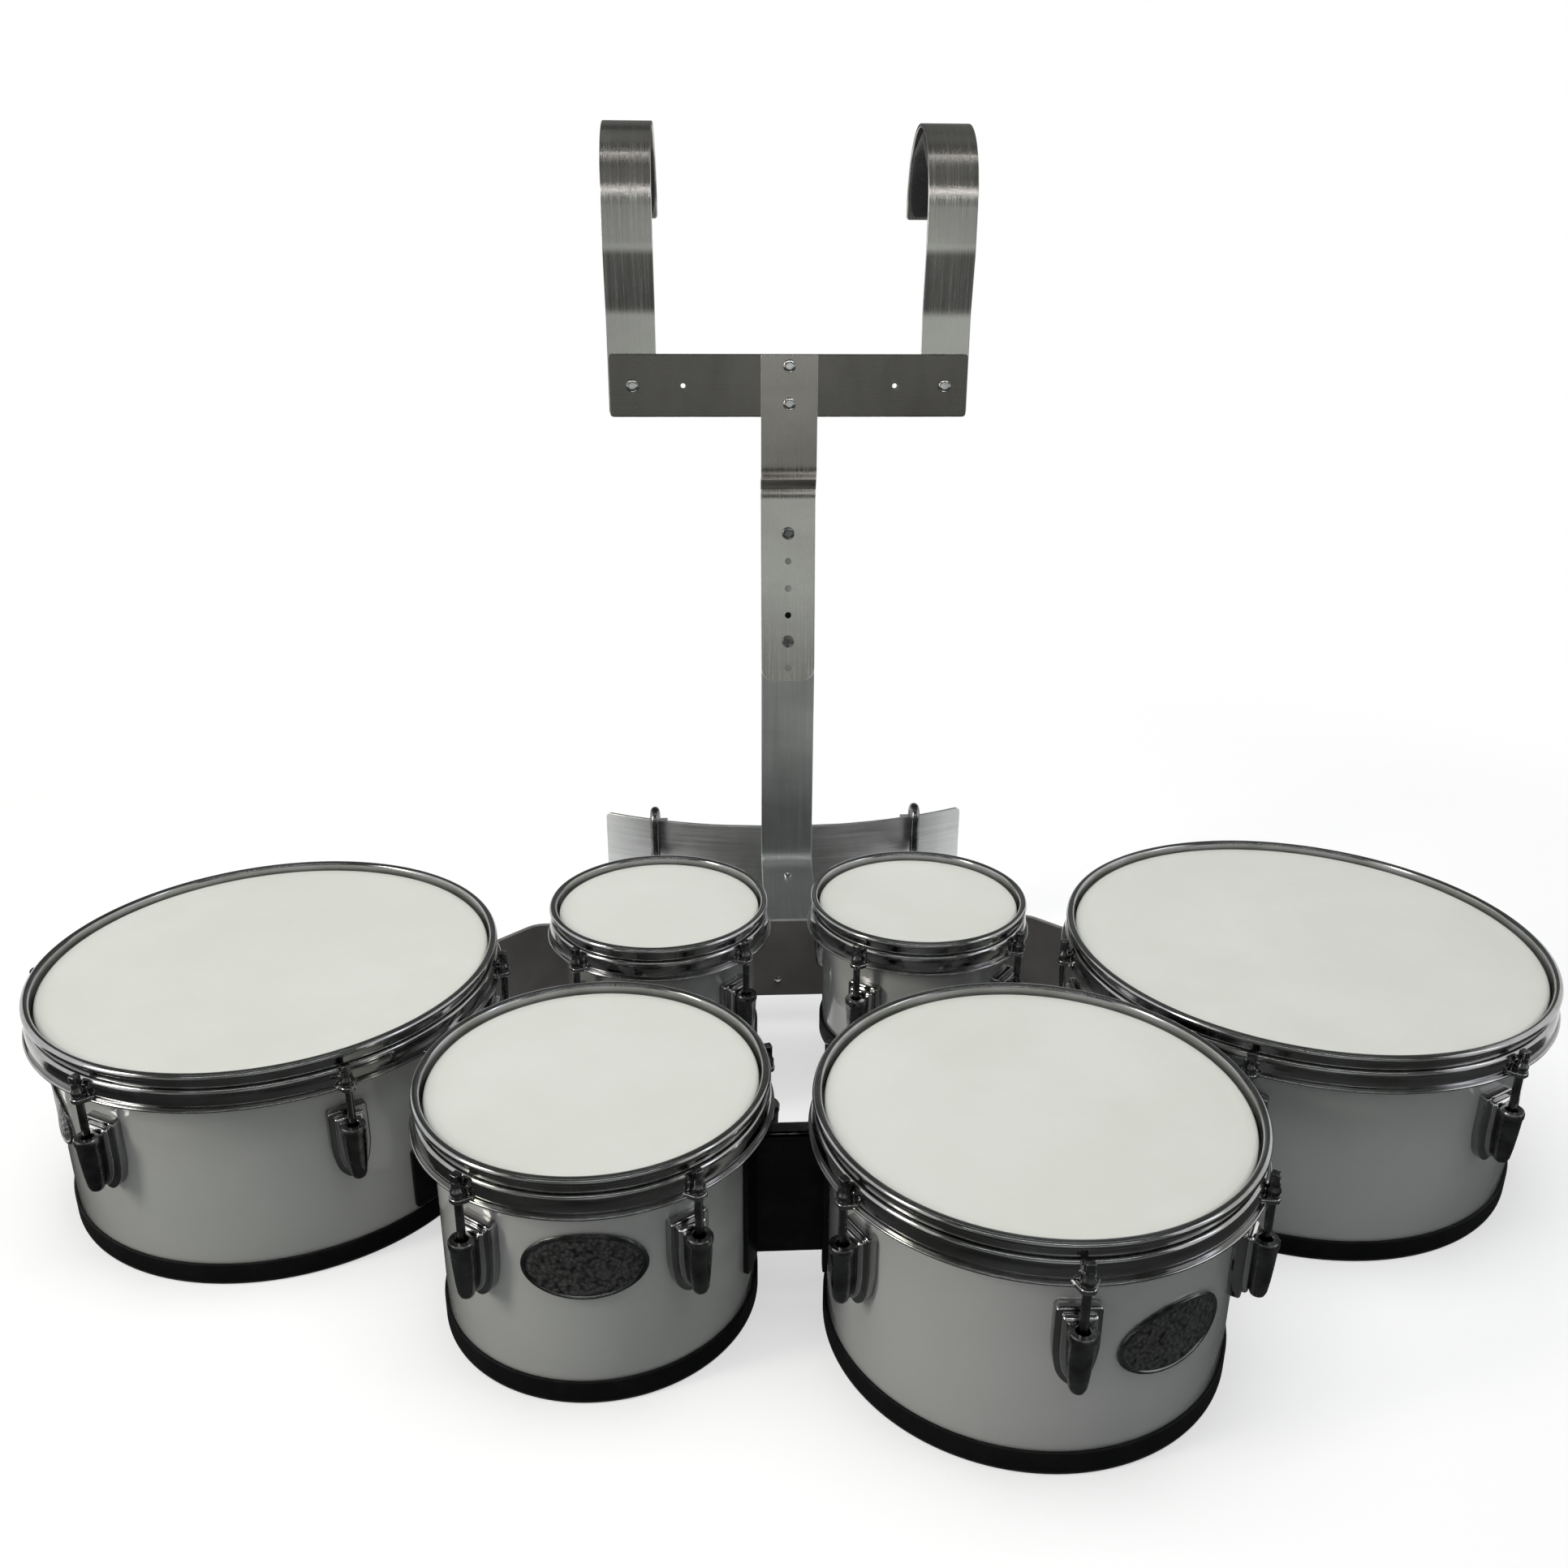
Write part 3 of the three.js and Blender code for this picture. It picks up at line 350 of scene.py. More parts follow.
def black_rubber():
    """Moulded rubber, dusty where it faces up, with a dull grain."""
    black = (0.006, 0.006, 0.007)
    material, tree, shader = finish_of("black_rubber", black, specular_ior_level=0.12)
    dusty = dusted(tree, (*black, 1), (0.04, 0.038, 0.036), 0.3)
    feed(tree, shader, {
        "Base Color": rubbed(tree, dusty, (0.03, 0.03, 0.03), 0.6),
        "Roughness": smudged(tree, 40.0, 0.5, 0.75),
        "Normal": grained(tree, 620.0, 0.00012),
    })
    return material


def frame_paint(name, dark, light):
    """Dark powder coat with a fine pebbled skin, rubbed brighter along its edges."""
    base = tuple(0.85 * level for level in light)
    material, tree, shader = finish_of(name, base, specular_ior_level=0.2)
    clouds = noise(tree, on_piece(tree), 16.0, 5.0)
    dusty = dusted(tree, tinted(tree, clouds, 0.35, 0.65, dark, light), (0.11, 0.105, 0.10), 0.2)
    feed(tree, shader, {
        "Base Color": rubbed(tree, dusty, (0.22, 0.22, 0.22), 0.7),
        "Roughness": smudged(tree, 30.0, 0.3, 0.5),
        "Normal": grained(tree, 800.0, 0.0001),
    })
    return material


def brushed_aluminium(name, stretch, bands, dark, light, smooth=0.17):
    """Flat bar brushed along its length: fine lines in tone, gloss and relief, under broad bands of tone."""
    material, tree, shader = finish_of(name, average(light), metallic=1.0)
    lines = use(tree, BRUSHED, {"Stretch": stretch, "Bands": bands})
    tone = tinted(tree, lines["Tone"], 0.3, 0.7, dark, light)
    streaks = ranged(tree, lines["Lines"], 0.3, 0.7, 0.82, 1.15)
    streaked = node(tree, "VectorMath", {0: tone, "Scale": streaks}, operation="SCALE")
    feed(tree, shader, {
        "Base Color": rubbed(tree, streaked.outputs[0], (0.7, 0.7, 0.69), 0.5),
        "Roughness": ranged(tree, lines["Lines"], 0.3, 0.7, smooth, smooth + 0.14),
        "Normal": bumped(tree, lines["Lines"], 0.00003),
    })
    return material


def black_foam():
    """Closed-cell foam: rounded cells from a Voronoi pattern sunk into the skin, over a soft noise."""
    material, tree, shader = finish_of("black_foam", (0.014, 0.014, 0.015), sheen_weight=0.1, sheen_roughness=0.6)
    place = on_piece(tree)
    cells = node(tree, "TexVoronoi", {"Vector": place, "Scale": 620.0}).outputs["Distance"]
    skin = noise(tree, place, 150.0, 6.0, 0.7)
    height = node(tree, "Math", {0: cells, 1: skin}, operation="ADD").outputs[0]
    tone = tinted(tree, skin, 0.3, 0.7, (0.007, 0.007, 0.008), (0.018, 0.018, 0.019))
    feed(tree, shader, {
        "Base Color": dusted(tree, tone, (0.05, 0.048, 0.045), 0.2),
        "Roughness": smudged(tree, 55.0, 0.72, 0.95),
        "Normal": bumped(tree, height, 0.0006),
    })
    return material


def badge_field():
    """The badge's sunk field: dark pebbled metal, darker between the pebbles."""
    material, tree, shader = finish_of("badge_field", (0.06, 0.065, 0.07), metallic=0.7)
    pebbles = node(tree, "TexVoronoi", {"Vector": on_piece(tree), "Scale": 420.0}, feature="SMOOTH_F1")
    height = pebbles.outputs["Distance"]
    feed(tree, shader, {
        "Base Color": tinted(tree, height, 0.1, 0.75, (0.22, 0.225, 0.22), (0.018, 0.019, 0.019)),
        "Roughness": smudged(tree, 80.0, 0.22, 0.45),
        "Normal": bumped(tree, height, 0.0007, invert=True),
    })
    return material


LACQUER, PLYWOOD, STEEL_AND_PAINTED_SHADE = white_lacquer(), plywood(), dark_steel_and_painted_shade()
CHROME = chrome("chrome", (0.30, 0.305, 0.29), (0.42, 0.415, 0.43))
# Painted light: a lighter copy of the chrome for the lugs' raised middles and the bolt heads, standing in for what
# they mirror
CHROME_PAINTED_LIGHT = chrome("chrome_painted_light", (0.70, 0.705, 0.69), (0.86, 0.855, 0.86))
FILM, RUBBER, FOAM, FIELD = coated_film(), black_rubber(), black_foam(), badge_field()
GREY_PAINT = frame_paint("grey_paint", (0.16, 0.152, 0.146), (0.23, 0.222, 0.214))
# Painted shade: a near-black copy of the frame's paint for the front channel, the joint plates and the slot plate
PAINTED_SHADE_FRAME_PAINT = frame_paint("frame_paint_painted_shade", (0.004, 0.004, 0.005), (0.009, 0.009, 0.010))

# How the brush lines and tone bands stretch on bars that stand and on bars that lie level
UPRIGHT, LEVEL = ((900.0, 9.0, 9.0), (6.0, 6.0, 14.0)), ((9.0, 9.0, 900.0), (14.0, 6.0, 6.0))
UPRIGHT_BAR = brushed_aluminium("brushed_upright", *UPRIGHT, (0.42, 0.435, 0.435), (0.60, 0.62, 0.62), 0.34)
PALE_BAR = brushed_aluminium("brushed_pale", *UPRIGHT, (0.68, 0.66, 0.63), (0.88, 0.86, 0.83))
# Painted shade: a darker copy of the brushed metal for the shoulder hooks' arches
ARCH_PAINTED_SHADE_BAR = brushed_aluminium("brushed_arch_painted_shade", *UPRIGHT, (0.54, 0.51, 0.485), (0.72, 0.685, 0.655))
# Painted shade: a darker copy of the brushed metal for the upper post over the joggle
JOGGLE_TOP_PAINTED_SHADE_BAR = brushed_aluminium("brushed_joggle_top_painted_shade", *UPRIGHT, (0.43, 0.403, 0.38), (0.575, 0.543, 0.515))
# Painted shade: a much darker copy of the brushed metal for the cross plate and the flesh hoops
LEVEL_PAINTED_SHADE_BAR = brushed_aluminium("brushed_level_painted_shade", *LEVEL, (0.178, 0.167, 0.158), (0.262, 0.248, 0.235))
# Painted shade: the darkest copy of the brushed metal, for the upper post's crease
CREASE_PAINTED_SHADE_BAR = brushed_aluminium("brushed_crease_painted_shade", *LEVEL, (0.10, 0.095, 0.09), (0.17, 0.16, 0.15))
SHIELD_BAR = brushed_aluminium("brushed_shield", *LEVEL, (0.62, 0.63, 0.625), (0.84, 0.855, 0.85), 0.3)


# Shapes worked out as arrays
def run_along(path):
    """How far along a path each of its points lies: the sum of the steps before it."""
    return np.concatenate([[0], np.cumsum(np.linalg.norm(np.diff(path, axis=0), axis=1))])


def at_run(values, run, s):
    """What is known at a path's points, worked out between them at given distances along the path."""
    return np.stack([np.interp(s, run, values[:, k]) for k in range(values.shape[1])], -1)


def unit(vectors):
    """Vectors brought to length one."""
    return vectors / np.linalg.norm(vectors, axis=1)[:, None]


def quarter_turn(vectors):
    """Vectors of a plane turned a quarter to the left: (x, y) becomes (-y, x)."""
    return np.stack([-vectors[:, 1], vectors[:, 0]], -1)


def rounded(corners, cut, steps=4):
    """A closed outline with soft corners: each is a quadratic curve that starts and ends `cut` away."""
    corner = np.array(corners, float)
    back = np.roll(corner, 1, 0) - corner
    ahead = np.roll(corner, -1, 0) - corner
    back_length = np.linalg.norm(back, axis=1)
    ahead_length = np.linalg.norm(ahead, axis=1)
    reach = np.minimum(cut, 0.48 * np.minimum(back_length, ahead_length))
    start = corner + back * (reach / back_length)[:, None]
    end = corner + ahead * (reach / ahead_length)[:, None]
    t = np.linspace(0, 1, steps + 1)[None, :, None]
    curve = (1 - t) ** 2 * start[:, None] + 2 * t * (1 - t) * corner[:, None] + t ** 2 * end[:, None]
    return curve.reshape(-1, 2)


def bent(corners, radius, steps=10):
    """An open path whose inner corners are quadratic curves. They are cut back by the radius over the tangent of half
    the corner's angle."""
    corner = np.array(corners, float)
    back = unit(corner[:-2] - corner[1:-1])
    ahead = unit(corner[2:] - corner[1:-1])
    half = np.arccos(np.clip((back * ahead).sum(1), -1, 1)) / 2
    cut = (radius / np.tan(half))[:, None, None]
    t = np.linspace(0, 1, steps + 1)[None, :, None]
    start = corner[1:-1, None] + back[:, None] * cut
    end = corner[1:-1, None] + ahead[:, None] * cut
    curve = (1 - t) ** 2 * start + 2 * t * (1 - t) * corner[1:-1, None] + t ** 2 * end
    return np.vstack([corner[:1], curve.reshape(-1, 2), corner[-1:]])


def quads(points, close_rows=False, close_columns=False):
    """The four-cornered faces of a grid of points, joined round where it is closed."""
    rows, columns = points.shape[:2]
    row = np.arange(rows if close_rows else rows - 1)
    column = np.arange(columns if close_columns else columns - 1)
    a, b = np.meshgrid(row, column, indexing="ij")
    below, beside = (a + 1) % rows, (b + 1) % columns
    a, below = a * columns, below * columns
    faces = np.stack([a + b, a + beside, below + beside, below + b], -1)
    return points.reshape(-1, 3), faces.reshape(-1, 4)


def lathe(profile, sides):
    """A closed profile of (radius, height) turned about Z: x and y are the radius times a cosine and a sine."""
    angle = np.arange(sides) * 2 * np.pi / sides
    radius, height = np.asarray(profile, float).T
    turned = np.stack([np.outer(np.cos(angle), radius), np.outer(np.sin(angle), radius)], -1)
    level = np.broadcast_to(height, (sides, len(height)))
    return quads(np.dstack([turned, level]), True, True)


def even(path, spacing):
    """The same path with its points spread evenly along it."""
    run = run_along(path)
    return at_run(path, run, np.linspace(0, run[-1], int(run[-1] / spacing) + 1))


def section_of(path, thick):
    """A sheet's section: the path moved to both sides by half the thickness, with round ends."""
    along = unit(np.gradient(path, axis=0))
    side = quarter_turn(along) * thick / 2
    turn = np.linspace(0, np.pi, 6)[1:-1, None]
    far = path[-1] + side[-1] * np.cos(turn) + along[-1] * np.sin(turn) * thick / 2
    near = path[0] - side[0] * np.cos(turn) - along[0] * np.sin(turn) * thick / 2
    return np.vstack([path + side, far, (path - side)[::-1], near])


def slab(outline, low, high, edge=0.6, dome=0.0, steps=4):
    """A flat outline raised from low to high: rings of it are drawn in along a quarter circle at both edges, then
    shrunk to its middle over a dome."""
    outline = np.asarray(outline, float)
    along = np.roll(outline, -1, 0) - np.roll(outline, 1, 0)
    inward = quarter_turn(along)
    inward /= np.linalg.norm(inward, axis=1)[:, None] + 1e-9
    heart = outline.mean(0)
    if ((heart - outline) * inward).sum() < 0:
        inward = -inward
    turn = np.linspace(0, np.pi / 2, steps + 1)
    inset = edge * np.concatenate([(1 - np.sin(turn)), (1 - np.cos(turn))])
    level = np.concatenate([low + edge * (1 - np.cos(turn)), high - edge + edge * np.sin(turn)])
    rings = outline[None] + inward[None] * inset[:, None, None]
    shrink = np.array([0.75, 0.45, 0.2, 0.0])
    cap = heart + (rings[-1] - heart)[None] * shrink[:, None, None]
    base = heart + (rings[0] - heart)[None] * np.array([0.0])[:, None, None]
    flat = np.concatenate([base, rings, cap])
    height = np.concatenate([[low], level, high + dome * (1 - shrink ** 2)])
    return quads(np.dstack([flat, np.broadcast_to(height[:, None], flat.shape[:2])]), False, True)


def bar_section(width):
    """A rounded rectangle as four rows: places across and out as shares of the flat half sizes, and shares of the
    edge's rounding. Columns stand closer together near the edges, so that wear stays there."""
    arc = np.linspace(0, np.pi / 2, 4)
    near = np.array([0.8, 2.5]) / width
    along = 1 - 2 * np.concatenate([near, [0.17, 0.33, 0.5, 0.67, 0.83], 1 - near[::-1]])
    rows = []
    for k, (a, b) in enumerate([(1, 1), (-1, 1), (-1, -1), (1, -1)]):
        angle = arc + k * np.pi / 2
        one = np.ones(4)
        rows.append(np.stack([a * one, np.cos(angle), b * one, np.sin(angle)]))
        if k in (0, 2):
            flat = np.ones(len(along))
            rows.append(np.stack([along * b, 0 * flat, b * flat, b * flat]))
    return np.concatenate(rows, 1)


def bar(path, width, thick, corners=(1.0, 1.0), edge=0.5):
    """A flat bar bent along a path in a plane: a rounded rectangle stands square to the path at each point. Near each
    end its half width follows a quarter circle of that corner's radius. Its points are the path's two coordinates and
    the place across."""
    path = np.asarray(path, float)
    run = run_along(path)
    length = run[-1]
    turn = np.linspace(0, np.pi / 2, 7)
    ends = [corners[0] * (1 - np.cos(turn)), length - corners[1] * (1 - np.cos(turn))]
    edges = [edge * np.array([0, 0.3, 1.0]), length - edge * np.array([0, 0.3, 1.0])]
    s = np.unique(np.round(np.concatenate([run, *ends, *edges, np.arange(0, length, 8.0)]), 4))
    s = s[(s >= 0) & (s <= length)]
    place = at_run(path, run, s)
    side = quarter_turn(unit(at_run(np.gradient(path, run, axis=0), run, s)))
    half = np.full(len(s), width / 2)
    for corner, from_end in zip(corners, (s, length - s)):
        inside = np.maximum(corner - from_end, 0)
        half -= corner - np.sqrt(np.maximum(corner ** 2 - inside ** 2, 0))
    near_end = np.minimum(s, length - s)
    soft = np.sqrt(np.clip(1 - (1 - np.minimum(near_end / edge, 1)) ** 2, 0, 1))
    section = bar_section(width)
    across = section[0] * (half[:, None] - edge) + soft[:, None] * edge * section[1]
    out = section[2] * (thick / 2 - edge) + soft[:, None] * edge * section[3]
    flat = place[:, None] + side[:, None] * out[..., None]
    points, faces = quads(np.dstack([flat, across]), False, True)
    columns = len(section[0])
    caps = [tuple(range(columns)), tuple(range(len(points) - columns, len(points)))]
    return points, faces, caps


def pillow(long, wide, thick, corner=0.3, edge=0.55, steps=(56, 28), crown=0.15):
    """A soft closed form: a superellipsoid, where powers of sine and cosine square up its outline and round its edges.
    It is a little thicker towards the middle."""
    def power(value, exponent):
        """A power that keeps the value's sign."""
        return np.sign(value) * np.abs(value) ** exponent
    round_angle = np.linspace(-np.pi, np.pi, steps[0], endpoint=False)
    rise = np.linspace(-np.pi / 2, np.pi / 2, steps[1])
    spread = power(np.cos(rise), edge)
    a = np.outer(spread, power(np.cos(round_angle), corner))
    b = np.outer(spread, power(np.sin(round_angle), corner))
    c = np.repeat(power(np.sin(rise), edge)[:, None], steps[0], 1)
    c = c * (1 - crown + crown * (1 - a ** 2) * (1 - b ** 2))
    return quads(np.dstack([a * long / 2, b * wide / 2, c * thick / 2]), False, True)


def tube(path, radius):
    """A round bar along a path in space: circles square to it, drawn in to a point at both ends over a dome."""
    along = unit(np.gradient(path, axis=0))
    dome = np.linspace(0, np.pi / 2, 5)
    start = path[0] - along[0] * (radius * 0.5 * np.cos(dome))[:, None] + along[0] * radius * 0.5
    end = path[-1] + along[-1] * (radius * 0.5 * np.sin(dome))[:, None] - along[-1] * radius * 0.5
    line = np.vstack([start, path[1:-1], end])
    heading = np.vstack([np.repeat(along[:1], 5, 0), along[1:-1], np.repeat(along[-1:], 5, 0)])
    size = np.concatenate([radius * np.sin(dome), np.full(len(path) - 2, radius), radius * np.cos(dome)])
    level = np.broadcast_to([1.0, 0, 0], heading.shape)
    upright = np.cross(heading, level)
    angle = np.arange(20) * 2 * np.pi / 20
    ring = level[:, None] * np.cos(angle)[None, :, None] + upright[:, None] * np.sin(angle)[None, :, None]
    return quads(line[:, None] + ring * size[:, None, None], False, True)


def placed(shape, origin, x_axis=(1, 0, 0), y_axis=(0, 1, 0), z_axis=(0, 0, 1)):
    """A shape moved so that its own three axes run along the given ones from an origin."""
    return (shape[0] @ np.array([x_axis, y_axis, z_axis], float) + np.asarray(origin, float), *shape[1:])


def mesh_of(name, shapes, indices=None):
    """One mesh from several closed shapes, in metres, with merged seams, no loose edges and outward normals."""
    points = np.vstack([shape[0] for shape in shapes]) * MM
    faces, material_index, start = [], [], 0
    for k, shape in enumerate(shapes):
        caps = shape[2] if len(shape) > 2 else []
        own = (shape[1] + start).tolist() + [[corner + start for corner in cap] for cap in caps]
        faces += own
        given = indices[k] if indices else 0
        material_index += [given] * len(own) if np.isscalar(given) else list(given)
        start += len(shape[0])
    mesh = bpy.data.meshes.new(name)
    mesh.from_pydata(points.tolist(), [], faces)
    mesh.polygons.foreach_set("material_index", material_index)
    tidy = bmesh.new()
    tidy.from_mesh(mesh)
    bmesh.ops.remove_doubles(tidy, verts=tidy.verts, dist=1e-6)
    bmesh.ops.delete(tidy, geom=[edge for edge in tidy.edges if not edge.link_faces], context="EDGES")
    bmesh.ops.recalc_face_normals(tidy, faces=tidy.faces)
    tidy.to_mesh(mesh)
    tidy.free()
    return mesh


def piece(name, body, materials, shapes, stands_for=(), indices=None, smooth=SMOOTH):
    """A finished piece: its mesh, materials, the body that it moves with and the solids that it stands for."""
    mesh = mesh_of(name, shapes, indices)
    for material in materials:
        mesh.materials.append(material)
    mesh.shade_smooth()
    mesh.set_sharp_from_angle(angle=math.radians(smooth))
    made = bpy.data.objects.new(name, mesh)
    bpy.context.scene.collection.objects.link(made)
    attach(made, body)
    if stands_for:
        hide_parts(*stands_for)
    return made


def drilled(made, cutters):
    """Cuts closed shapes out of a piece."""
    cutter = bpy.data.objects.new("cutter", mesh_of("cutter", cutters))
    bpy.context.scene.collection.objects.link(cutter)
    cut = made.modifiers.new("holes", "BOOLEAN")
    cut.operation, cut.solver, cut.object = "DIFFERENCE", "EXACT", cutter
    bpy.context.view_layer.update()
    result = bpy.data.meshes.new_from_object(made.evaluated_get(bpy.context.evaluated_depsgraph_get()))
    made.modifiers.clear()
    made.data = result
    result.shade_smooth()
    result.set_sharp_from_angle(angle=math.radians(SMOOTH))
    bpy.data.objects.remove(cutter)


# Drums
def drum_of(name, size, height, lugs, first):
    """Everything about one drum that follows from its size: centre, radii and where its lugs stand."""
    radius = size * INCH / 2
    angles = np.radians(first + np.arange(lugs) * 360 / lugs)
    return SimpleNamespace(name=name, radius=radius, shell=radius - 1, height=height, angles=angles,
                           centre=middle(f"{name}_edge_trim")[:2], sides=144 if size > 7 else 112)


DRUMS = [
    drum_of("left", 12, TOP, 6, -118),
    drum_of("front_left", 8, TOP, 5, -127),
    drum_of("small_left", 6, SMALL, 4, -42),
    drum_of("small_right", 6, SMALL, 4, -38),
    drum_of("front_right", 10, TOP, 6, -151.5),
    drum_of("right", 13, TOP, 6, -62),
]

# Shell and its rubber edge
SHELL_WALL = 6
BEARING, BEARING_WIDTH = -5.9, 1.5
TRIM_HEIGHT, TRIM_WALL, TRIM_LIP = 16, 1.8, 2.5

# Collar of the film and width of the flesh hoop, mouth of the counter hoop, and how far out the tension rods stand
COLLAR = 2.2
FLESH = 4.5
HOOP_MOUTH = 4
ROD_OFFSET = 14.0


def on_drum(drum, shape):
    """A shape made about the drum's axis, with heights measured from the top of its hoop."""
    return placed(shape, (*drum.centre, TOP))


def at_lug(drum, angle, shape, out, axes="side"):
    """A shape set against the drum at an angle. Its axes are across, up and out, or for "upright" out, across, up."""
    outward = (math.cos(angle), math.sin(angle), 0)
    across = (-math.sin(angle), math.cos(angle), 0)
    origin = (drum.centre[0] + out * outward[0], drum.centre[1] + out * outward[1], TOP)
    if axes == "side":
        return placed(shape, origin, across, (0, 0, 1), outward)
    return placed(shape, origin, outward, across, (0, 0, 1))


def shell_wall(drum):
    """The shell: a turned wall with a bevelled bearing edge, lacquered outside and bare plywood inside."""
    low, inner = TRIM_LIP + GAP - drum.height, drum.shell - SHELL_WALL
    profile = rounded([
        (inner, low), (drum.shell, low), (drum.shell, BEARING - SHELL_WALL + BEARING_WIDTH),
        (inner + BEARING_WIDTH, BEARING), (inner, BEARING),
    ], 0.5, 3)
    shape = on_drum(drum, lathe(profile, drum.sides))
    radius = (profile[:, 0] + np.roll(profile[:, 0], -1)) / 2
    bare = np.tile((radius < drum.shell - 0.4).astype(int), drum.sides)
    piece(f"{drum.name}_shell_wall", "drum_set", [LACQUER, PLYWOOD], [shape],
          [f"{drum.name}_shell"], [bare])


def lug_shapes(drum, angle):
    """A pad with a round foot and a raised middle, and a tapered barrel in front, open at the top for its rod."""
    foot = [(-13, -45), (13, -45), (13, -76), (9.6, -92), (0, -101), (-9.6, -92), (-13, -76)]
    pad = slab(rounded(foot, np.array([3.5, 3.5, 7, 8, 8, 8, 7]), 6), -3, 5.4, edge=1.5)
    centre = [(-9.8, -48.5), (9.8, -48.5), (9.8, -75), (7.2, -88), (0, -96), (-7.2, -88), (-9.8, -75)]
    raised = slab(rounded(centre, np.array([2.5, 2.5, 6, 7, 7, 7, 6]), 6), 4, 9, edge=2.2, dome=0.6)
    barrel = lathe([
        (0, -93.8), (2.4, -93.4), (4.3, -91.9), (5.4, -89), (6.3, -81), (7.1, -69), (7.6, -58), (8.2, -56.6),
        (8.3, -53.4), (7.6, -52.1), (4.4, -52.1), (3.6, -53.2), (3.5, -62), (0, -62),
    ], 32)
    return [
        at_lug(drum, angle, pad, drum.radius),
        at_lug(drum, angle, raised, drum.radius),
        at_lug(drum, angle, barrel, drum.radius + ROD_OFFSET, "upright"),
    ]


def lugs(drum):
    """One lug at each of the drum's angles, its raised middle in a lighter copy of the chrome that paints the light it
    mirrors, and its barrel in dark steel that paints shade on the chrome.
    """
    shapes = [shape for angle in drum.angles for shape in lug_shapes(drum, angle)]
    # Painted light and shade: the raised middles take the lighter chrome, the barrels the dark steel
    piece(f"{drum.name}_lugs", "drum_set", [CHROME, CHROME_PAINTED_LIGHT, STEEL_AND_PAINTED_SHADE], shapes, [f"{drum.name}_shell"],
          [0, 1, 2] * len(drum.angles))


def edge_trim(drum):
    """A rubber channel with a lip under the shell, its corners rounded."""
    low, seat, inner = -drum.height, drum.shell + GAP, drum.shell - SHELL_WALL
    profile = rounded([
        (inner, low), (seat + TRIM_WALL, low), (seat + TRIM_WALL, low + TRIM_HEIGHT), (seat, low + TRIM_HEIGHT),
        (seat, low + TRIM_LIP), (inner, low + TRIM_LIP),
    ], np.array([0.8, 1.4, 0.9, 0.3, 0.3, 0.8]), 4)
    piece(f"{drum.name}_rubber_edge", "drum_set", [RUBBER],
          [on_drum(drum, lathe(profile, drum.sides))], [f"{drum.name}_edge_trim"])


def head(drum):
    """Film over the bearing edge, rolled down into a metal flesh hoop."""
    collar, flesh = drum.radius + COLLAR, drum.radius + COLLAR + FLESH
    inner = drum.shell - SHELL_WALL
    film = [
        (0, -5.6), (inner, -5.6), (drum.radius - 1.2, BEARING), (collar - 0.8, -7.4), (collar - 0.6, -14),
        (collar + 0.6, -14), (collar, -12.6), (collar, -7.2), (drum.radius + 1.2, BEARING),
        (drum.radius - 0.5, -5.2), (drum.shell - 5, -5.0), (drum.shell * 0.6, -5.0), (0, -5.0),
    ]
    ring = rounded([(collar - 0.5, -19.5), (flesh, -19.5), (flesh, -13), (collar - 0.5, -13)], 0.8, 3)
    shapes = [on_drum(drum, lathe(film, drum.sides)), on_drum(drum, lathe(ring, drum.sides))]
    # The flesh hoop takes the darker copy of the brushed metal, which paints shade
    piece(f"{drum.name}_film", "drum_set", [FILM, LEVEL_PAINTED_SHADE_BAR], shapes, [f"{drum.name}_head"], [0, 1])


def hoop(drum):
    """The hoop's sheet runs from its rolled lip down the mouth, out over the flesh hoop, and down to the low flange.
    The lower band bulges by half a sine wave over its height."""
    mouth, skirt = drum.radius + HOOP_MOUTH, drum.radius + COLLAR + FLESH + 0.5
    path = even(bent([
        (mouth + 5.0, -3.4), (mouth + 4.4, -1.0), (mouth + 1.0, -1.0), (mouth + 1.0, -11.7), (skirt + 1, -11.7),
        (skirt + 1, -25), (skirt + 4.0, -25),
    ], 1.5, 6), 0.7)
    band = np.clip((-12.4 - path[:, 1]) / 12.0, 0, 1) * (path[:, 0] < skirt + 1.3)
    path[:, 0] += np.sin(np.pi * band)
    shapes = [on_drum(drum, lathe(section_of(path, 1.9), drum.sides))]
    for angle in drum.angles:
        shapes += ear_shapes(drum, angle, skirt)
    piece(f"{drum.name}_flanged_hoop", f"{drum.name}_hoop", [CHROME], shapes, [f"{drum.name}_hoop"])


def ear_shapes(drum, angle, skirt):
    """A pressed ear that carries the rod: a rounded tab on the low flange with a web rising to the hoop's step."""
    rod = drum.radius + ROD_OFFSET
    root, end = skirt + 0.6, rod + 4.6
    corners = [(root, -8.5), (rod - 1, -6), (end, -3.6), (end, 3.6), (rod - 1, 6), (root, 8.5)]
    tab = slab(rounded(corners, np.array([0.5, 4, 3.2, 3.2, 4, 0.5]), 5), -26, -22.4, edge=1.0)
    rib = [(root - 0.4, -7), (rod - 3.2, -4.6), (rod - 3.2, 4.6), (root - 0.4, 7)]
    web = slab(rounded(rib, 2.5, 4), -24, -15.5, edge=1.6)
    return [at_lug(drum, angle, shape, 0, "upright") for shape in (tab, web)]


